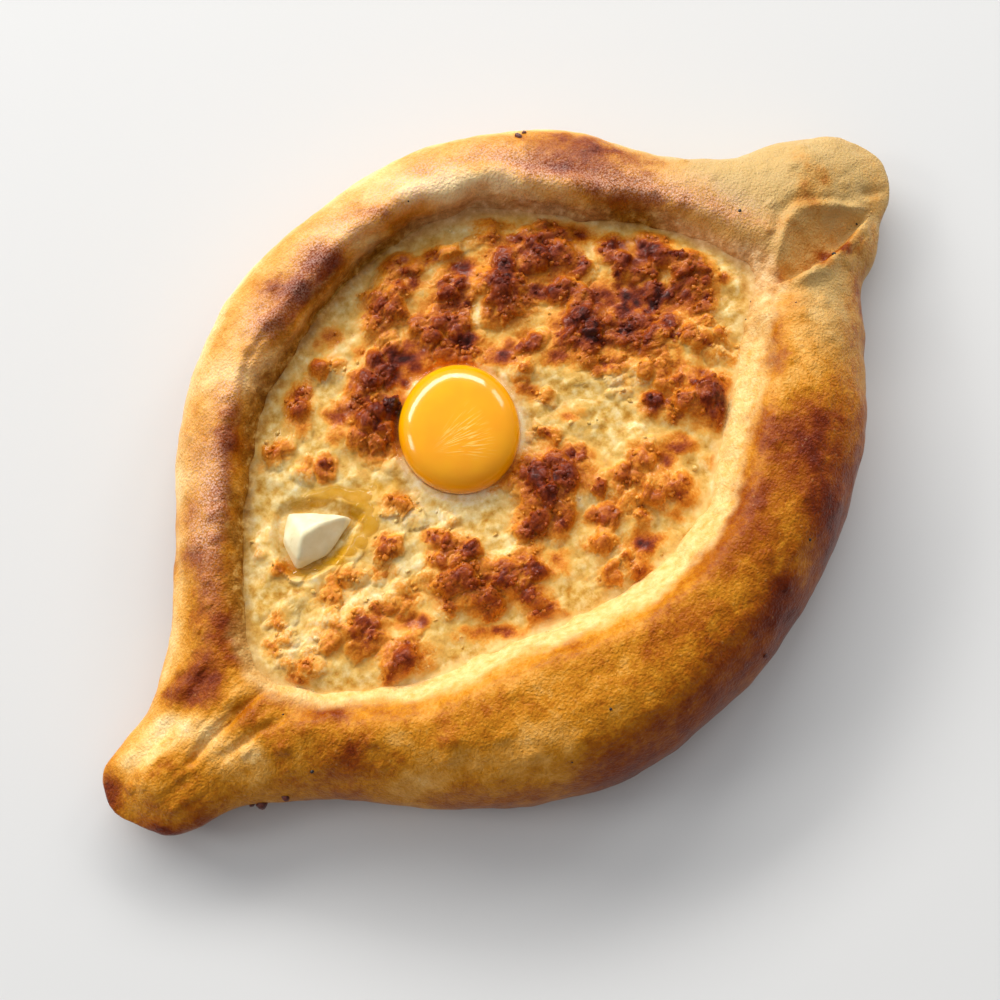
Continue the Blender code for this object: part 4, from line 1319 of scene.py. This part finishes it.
def scattered(name, source, material, **settings):
    """Runs the scatter over a copy of the source and keeps the result as a plain mesh."""
    tree = scatter_tree(name + "_tree", material)
    helper = bpy.data.objects.new(name + "_helper", source.data.copy())
    PIECES.objects.link(helper)
    modifier = helper.modifiers.new("scatter", "NODES")
    modifier.node_group = tree
    for item in tree.interface.items_tree:
        key = item.name.replace(" ", "_")
        if key in settings:
            modifier[item.identifier] = settings[key]
    graph = bpy.context.evaluated_depsgraph_get()
    mesh = bpy.data.meshes.new_from_object(helper.evaluated_get(graph))
    bpy.data.objects.remove(helper)
    mesh.name = name
    mesh.materials.clear()
    return add_piece(name, mesh, material)


curd_finish = cheese_material("loose_curd")
browned_crumbs = scattered("browned_crumbs", cheese, curd_finish, Crumbs_per_square_metre=70000.0,
                           Smallest_radius=0.0004, Largest_radius=0.0010, Lowest_brown=0.42, Seed=7)
pale_crumbs = scattered("pale_crumbs", cheese, curd_finish, Crumbs_per_square_metre=45000.0,
                        Smallest_radius=0.0004, Largest_radius=0.0009, Lowest_brown=-1.0, Seed=8)

# %% [markdown]
# ## The yolk
# A raw yolk is a drop in a thin skin: a dome that its own weight flattens, and rounder at its rim. It is
# opaque and deep yellow, wet enough to mirror the windows, with a fan of fine pale threads where the skin
# is stretched. A scaled sphere would look like a ball bearing, so the rings follow the yolk's own profile.

# %% Make the yolk
YOLK_RINGS, YOLK_SEGMENTS = 48, 112
YOLK_SQUARE = 0.77      # 1 is a plain ellipse, and less is flatter on top with a tighter rim


def yolk_rings():
    """Rings from the yolk's top to its underside."""
    turn = math.radians(YOLK["turn"])
    angle = 2 * math.pi * np.arange(YOLK_SEGMENTS) / YOLK_SEGMENTS
    wobble = 1 + 0.012 * np.sin(2 * angle + 0.6) + 0.008 * np.sin(3 * angle + 2)
    grid = []
    for ring in range(YOLK_RINGS + 1):
        fall = math.pi * ring / YOLK_RINGS
        flat_top = abs(math.sin(fall)) ** YOLK_SQUARE
        u = YOLK["long"] * flat_top * np.cos(angle) * wobble
        v = YOLK["wide"] * flat_top * np.sin(angle) * wobble
        x = YOLK["x"] + u * math.cos(turn) - v * math.sin(turn)
        y = YOLK["y"] + u * math.sin(turn) + v * math.cos(turn)
        tall = YOLK["up"] if ring < YOLK_RINGS / 2 else YOLK["down"]
        height = math.copysign(tall * abs(math.cos(fall)) ** YOLK_SQUARE, math.cos(fall))
        grid.append(ring_at(np.stack([x, y], 1), YOLK["z"] + height))
    return np.array(grid)


yolk_grid = yolk_rings()
print("yolk along x, y and z, mm:", [round(float(np.ptp(yolk_grid[..., i])), 1) for i in (0, 1, 2)])

# %% [markdown]
# ## The yolk's finish
# A clear coat gives the skin its mirror, and the yellow under it scatters a little light. The threads are
# noise on two coordinates that suit a fan: the angle round one point and the distance from it. Only a
# part of the fan is kept, so that it starts and ends softly.

# %% Yolk material
YOLK_SCATTER = (0.006, 0.0025, 0.0003)      # how far red, green and blue light travel inside, in metres
THREADS_FROM = (-0.0235, 0.0110, 0.033)     # where the fan of threads starts
THREADS_ROUND, THREADS_OUT = 34.0, 160.0    # how fine the threads are across, and how soon they change


def yolk_material():
    """Raw yolk with its fan of pale threads."""
    material, tree, shader = new_material("raw_yolk", Subsurface_Weight=0.15, Subsurface_Scale=1.0,
                                          Subsurface_Radius=YOLK_SCATTER, IOR=1.33,
                                          Coat_Weight=0.7, Coat_Roughness=0.02, Coat_IOR=1.40)
    where = add(tree, "ShaderNodeTexCoord").outputs["Object"]
    root = add(tree, "ShaderNodeVectorMath", {"operation": "SUBTRACT"}, i0=where, i1=THREADS_FROM)
    split = add(tree, "ShaderNodeSeparateXYZ", Vector=root.outputs[0])
    angle = maths(tree, "ARCTAN2", split.outputs["Y"], split.outputs["X"])
    reach = add(tree, "ShaderNodeVectorMath", {"operation": "LENGTH"}, i0=root.outputs[0]).outputs["Value"]
    fan_place = add(tree, "ShaderNodeCombineXYZ", X=maths(tree, "MULTIPLY", angle, THREADS_ROUND),
                    Y=maths(tree, "MULTIPLY", reach, THREADS_OUT)).outputs[0]
    threads = add(tree, "ShaderNodeTexNoise", {"noise_dimensions": "2D"}, Scale=1.0, Detail=2.0,
                  Vector=fan_place).outputs["Fac"]
    fan = maths(tree, "MULTIPLY", spread(tree, angle, -0.85, -0.60), spread(tree, angle, 0.30, -0.05))
    fan = maths(tree, "MULTIPLY", fan, spread(tree, reach, 0.003, 0.008))
    fan = maths(tree, "MULTIPLY", fan, spread(tree, reach, 0.022, 0.015))
    streaks = maths(tree, "MULTIPLY", spread(tree, threads, 0.54, 0.66), fan)
    colour = ramp(tree, grain(tree, 14, 2), (0.30, tint(247, 160, 0)), (0.70, tint(251, 173, 0)))
    lined = mixed_colour(tree, maths(tree, "MULTIPLY", streaks, 0.85), colour, tint(255, 206, 92))
    put(tree, shader.inputs["Base Color"], lined)
    put(tree, shader.inputs["Roughness"], spread(tree, streaks, 0.0, 1.0, 0.16, 0.30))
    bumped(tree, shader, (streaks, 0.5, 0.08), (grain(tree, 5, 2), 0.12, 0.3))
    return material


yolk = add_piece("yolk", skin("yolk", yolk_grid), yolk_material())

# %% [markdown]
# ## The butter
# The knob was carved off a cold block, so it has flat faces and one long ridge. It keeps its corners on
# top and has begun to melt at its foot. A bevelled block would look too regular. So a hull is stretched
# over a dozen corners, cut finer, pushed about by a little noise, nicked once and smoothed.

# %% Carve the butter
NOTCH = np.array([-55.5, 12.0, 27.5])       # a nick in its steep side
NOTCH_DEPTH, NOTCH_SIZE = 0.9, 1.3
BUTTER_SCATTER = (0.004, 0.003, 0.0015)     # how far red, green and blue light travel inside, in metres
# Corners above the foot: x, y, and height over it.
BUTTER_TOP = [(-52, 13, 2.6), (-60, 15.5, 7.0), (-66.5, 16, 8.0), (-72, 11.5, 5.0), (-71, 20, 3.0),
              (-65, 25, 2.4), (-58, 19, 3.6)]


def butter_mesh():
    """The knob: a hull over its corners, softened."""
    mesh = bpy.data.meshes.new("butter")
    body = bmesh.new()
    corners = [(x, y, 0.0) for x, y in BUTTER_FOOT] + BUTTER_TOP
    for x, y, height in corners:
        body.verts.new((x * MM, y * MM, (BUTTER_FOOT_Z + height) * MM))
    hull = bmesh.ops.convex_hull(body, input=body.verts)
    bmesh.ops.delete(body, geom=hull["geom_interior"], context="VERTS")
    bmesh.ops.subdivide_edges(body, edges=body.edges, cuts=7, use_grid_fill=True)
    bmesh.ops.triangulate(body, faces=body.faces)
    places = np.array([vert.co for vert in body.verts]) / MM
    body.normal_update()
    push = 0.22 * rough(places, 3.0, 41) + 0.12 * rough(places, 1.3, 42)
    from_notch = np.linalg.norm((places - NOTCH) * [1, 1, 0.6], axis=1)
    push -= NOTCH_DEPTH * np.exp(-(from_notch / NOTCH_SIZE) ** 2)
    for vert, way in zip(body.verts, push):
        vert.co += vert.normal * way * MM
    for factor in (0.5, 0.4):
        bmesh.ops.smooth_vert(body, verts=body.verts, factor=factor, use_axis_x=True, use_axis_y=True,
                              use_axis_z=True)
    bmesh.ops.recalc_face_normals(body, faces=body.faces)
    body.to_mesh(mesh)
    body.free()
    return mesh


def butter_material():
    """Cold butter: pale, faintly cloudy, and waxy."""
    material, tree, shader = new_material("cold_butter", Subsurface_Weight=0.06, Subsurface_Scale=1.0,
                                          Subsurface_Radius=BUTTER_SCATTER, IOR=1.46)
    colour = ramp(tree, grain(tree, 4, 3), (0.3, tint(232, 218, 172)), (0.7, tint(244, 234, 196)))
    put(tree, shader.inputs["Base Color"], colour)
    put(tree, shader.inputs["Roughness"], spread(tree, grain(tree, 2, 3), 0.3, 0.7, 0.26, 0.42))
    bumped(tree, shader, (grain(tree, 2.5, 3), 0.3, 0.3))
    return material


butter = add_piece("butter", butter_mesh(), butter_material())

# %% [markdown]
# ## Melted butter and egg white
# Both are thin wet layers whose tops are level while the curds poke through. Each is a shallow closed
# lens whose middle stands just over the cheese and whose edge dips under it, so that the cheese itself
# draws its shore. They let most light through: gold for the butter, nearly clear for the white.

# %% Shapes of the pools
# The outline within which melted butter is looked for.
POOL = [(-67, 29), (-77, 22), (-80, 10), (-74, 3), (-62, 0), (-50, 0), (-40, 3), (-33, 8), (-32, 14),
        (-39, 21), (-48, 26), (-58, 29)]


def pool_grid(middle, edge, rings, top_of):
    """A thin closed film from its middle out to its edge, with its top where top_of says."""
    grid, below = [], []
    for ring in range(rings + 1):
        line = middle + (edge - middle) * ring / rings
        level = melted_level(line[:, 0], line[:, 1], distance(line, inner_loop))
        top = top_of(line, level)
        grid.append(ring_at(line, top))
        below.append(ring_at(line, np.minimum(level - 2.5, top - 0.4)))
    return np.array(grid + below[::-1])


def butter_top(line, level):
    """Melted butter stands a little over the cheese where it soaked in, and dips under it elsewhere."""
    wet = buttery(*line.T)
    return level + 0.35 * wet - 1.3 * (1 - wet) + 0.08 * rough(ring_at(line, 0.0), 5, 51)


def egg_top(line, level):
    """The white climbs the yolk's side and thins out over the cheese."""
    wet, rho = eggy(*line.T), yolk_radius(*line.T)
    climb = 0.7 * np.exp(-np.clip(rho - 1, 0, 1) / 0.05)
    outside = level + climb + 0.25 * wet - 1.8 * (1 - wet)
    return np.where(rho < 0.97, YOLK["z"] - 1, outside)


print("places on the pool's outline:", len(POOL))

# %% [markdown]
# ## Wet finish
# Real clear liquids bend light, but a film this thin hardly does. So it is a shiny surface that covers
# only a share of what lies under it, which is also quicker to render.

# %% Lay the pools
POOL_RINGS, WHITE_RINGS = 40, 60
WHITE_REACH = 30        # radius within which the egg white is looked for
WHITE_SEGMENTS = 220


def wet_material(name, colour, cover):
    """A shiny film of this screen colour that covers a share of what lies under it."""
    material, tree, shader = new_material(name, Roughness=0.06, IOR=1.45, Coat_Weight=1.0,
                                          Coat_Roughness=0.02)
    deeper = tint(*[part * 0.94 for part in colour])
    tone = ramp(tree, grain(tree, 4, 3), (0.3, deeper), (0.7, tint(*colour)))
    put(tree, shader.inputs["Base Color"], tone)
    cloudy = spread(tree, grain(tree, 3, 2), 0.3, 0.7, cover * 0.75, cover * 1.25)
    put(tree, shader.inputs["Alpha"], cloudy)
    bumped(tree, shader, (grain(tree, 4, 2), 0.25, 0.3))
    return material


pool_edge = smooth_loop(POOL, 14)
pool_film = pool_grid(pool_edge.mean(0), pool_edge, POOL_RINGS, butter_top)
melted_butter = add_piece("melted_butter", skin("melted_butter", pool_film),
                          wet_material("melted_butter", (226, 172, 20), 0.30))
turns = 2 * math.pi * np.arange(WHITE_SEGMENTS) / WHITE_SEGMENTS
yolk_middle = np.array([YOLK["x"], YOLK["y"]])
around = yolk_middle + WHITE_REACH * np.stack([np.cos(turns), np.sin(turns)], 1)
white_film = pool_grid(yolk_middle, around, WHITE_RINGS, egg_top)
egg_white = add_piece("egg_white", skin("egg_white", white_film),
                      wet_material("clear_egg_white", (244, 206, 120), 0.05))

# %% [markdown]
# ## Specks and burnt crumbs
# A few black specks of spice and soot sit on the crust, and some crumbs of cheese that fell on the hot
# tray have burnt on at the edge. There are too few to scatter by rule, so each has its place. Each is a
# little ball with its own shape, set on the nearest point of the crust.

# %% Specks and edge crumbs
LAST_UPPER_RING = -8    # from this ring on, the crust turns under
# x, y, radius
SPECKS = [(116, -20, 0.7), (102, 9, 0.5), (134, -15, 0.4), (84, -7, 0.3), (79, -12, 0.3), (93, -25, 0.3),
          (45, -82, 0.5), (-32, -81, 0.5), (-49, -85, 0.3), (-107, -39, 0.7), (-103, -21, 0.3),
          (53, 40, 0.5), (24, 76, 0.3), (-22, 80, 0.3)]
BURNT_CRUMBS = [(-126, -36, 1.6), (-124, -35, 1.0), (-118, -38, 1.1), (12, -99, 1.5), (14, -98, 1.0),
                (66, 73, 1.3), (69, 73, 0.9), (-128, -34, 0.9)]


def dotted(name, places, seed, material, sink):
    """Uneven balls on the crust at the given places. sink is how much of a radius each goes in."""
    top = crust_grid[FIRST_WALL_RING:LAST_UPPER_RING].reshape(-1, 3)
    rng = np.random.default_rng(seed)
    body = bmesh.new()
    for x, y, radius in places:
        nearest = top[np.argmin(np.hypot(top[:, 0] - x, top[:, 1] - y))]
        made = bmesh.ops.create_icosphere(body, subdivisions=2, radius=radius * MM)["verts"]
        stretch = rng.uniform(0.7, 1.3, 3)
        for vert in made:
            vert.co = Vector(vert.co * Vector(stretch)) * rng.uniform(0.85, 1.15)
            vert.co += Vector(nearest * MM) - Vector((0, 0, radius * sink * MM))
    mesh = bpy.data.meshes.new(name)
    body.to_mesh(mesh)
    body.free()
    return add_piece(name, mesh, material)


def burnt_material(name, light, dark, roughness):
    """Charred crumb or spice, from one screen colour to another."""
    material, tree, shader = new_material(name, Roughness=roughness)
    put(tree, shader.inputs["Base Color"],
        ramp(tree, grain(tree, 0.8, 3), (0.35, tint(*dark)), (0.70, tint(*light))))
    bumped(tree, shader, (grain(tree, 0.3, 2), 0.6, 0.08))
    return material


specks = dotted("specks", SPECKS, 61, burnt_material("soot", (40, 22, 16), (12, 6, 4), 0.45), 0.4)
burnt_crumbs = dotted("burnt_crumbs", BURNT_CRUMBS, 62,
                      burnt_material("burnt_cheese", (128, 50, 30), (50, 12, 8), 0.4), 0.2)

# %% [markdown]
# ## Table and light
# The bread lies on a plain pale floor. Daylight comes low from a row of four windows behind it and to
# its sides, which models the curds and mirrors in the yolk. A single lamp would leave hard shadows. A dim
# sky, brighter on the windows' side, fills the shadows.

# %% Floor
FLOOR_SIDE = 3.0        # half of the floor's width, in metres
FLOOR_DROP = 0.0002     # keeps the floor just clear of the base


def floor_piece():
    """A plain square floor, which isn't part of the bread."""
    side = FLOOR_SIDE
    corners = [(-side, -side, 0), (side, -side, 0), (side, side, 0), (-side, side, 0)]
    mesh = bpy.data.meshes.new("floor")
    mesh.from_pydata(corners, [], [(0, 1, 2, 3)])
    material, _, _ = new_material("pale_table", Roughness=0.6, Base_Color=tint(212, 212, 211))
    mesh.materials.append(material)
    piece = bpy.data.objects.new("floor", mesh)
    piece.location.z = -FLOOR_DROP
    bpy.context.scene.collection.objects.link(piece)
    return piece


floor = floor_piece()
print("floor, metres across:", 2 * FLOOR_SIDE)

# %% Windows and sky
DAYLIGHT = (1.0, 0.985, 0.96)
WINDOW_AWAY = 4.0       # metres
WINDOW_UP = 31          # degrees above the table
WINDOW_TALL = 0.80      # metres
# name, middle and width in degrees round the bread, watts
WINDOWS = [("window_wide", 86, 54, 146.0), ("window_next", 41, 26, 64.0), ("window_right", 9, 14, 18.0),
           ("window_left", 139, 15, 24.0)]
SKY_FROM = (0.20, 0.72, 0.66)       # the direction of the brightest sky


def window(name, towards, width, watts):
    """A soft rectangular light that faces the bread. towards and width are angles in degrees."""
    turn, up = math.radians(towards), math.radians(WINDOW_UP)
    way = Vector((math.cos(turn) * math.cos(up), math.sin(turn) * math.cos(up), math.sin(up)))
    data = bpy.data.lights.new(name, "AREA")
    data.shape = "RECTANGLE"
    data.size = 2 * WINDOW_AWAY * math.tan(math.radians(width / 2))
    data.size_y = WINDOW_TALL
    data.energy = watts
    data.color = DAYLIGHT
    light = bpy.data.objects.new(name, data)
    light.location = way * WINDOW_AWAY
    light.rotation_euler = way.to_track_quat("Z", "Y").to_euler()
    bpy.context.scene.collection.objects.link(light)


for name, towards, width, watts in WINDOWS:
    window(name, towards, width, watts)
world = bpy.data.worlds.new("room")
world.use_nodes = True
sky = world.node_tree
background = sky.nodes["Background"]
background.inputs["Color"].default_value = tint(242, 243, 246)
lit_side = add(sky, "ShaderNodeVectorMath", {"operation": "DOT_PRODUCT"}, i1=SKY_FROM,
               i0=add(sky, "ShaderNodeTexCoord").outputs["Generated"]).outputs["Value"]
put(sky, background.inputs["Strength"], spread(sky, lit_side, -0.5, 0.9, 0.14, 0.74))
bpy.context.scene.world = world
print("windows:", len(WINDOWS), "- watts in all:", sum(watts for _, _, _, watts in WINDOWS))

# %% [markdown]
# ## Bodies
# Every piece rides on the bread's one body, and the solid that a piece stands in for is hidden.

# %% Bodies, nodes and slots
HAND_OVER = [(crust, ["dough_crust"], "crust"), (cheese, ["cheese_filling"], "cheese"),
             (yolk, ["egg_yolk"], "yolk"), (butter, ["butter_knob"], "butter"),
             (browned_crumbs, [], "cheese"), (pale_crumbs, [], "cheese"), (melted_butter, [], "butter"),
             (egg_white, [], "yolk"), (specks, [], "crust"), (burnt_crumbs, [], "cheese")]
for piece, nodes, slot in HAND_OVER:
    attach(piece, "root")
    for node in nodes:
        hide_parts(node)
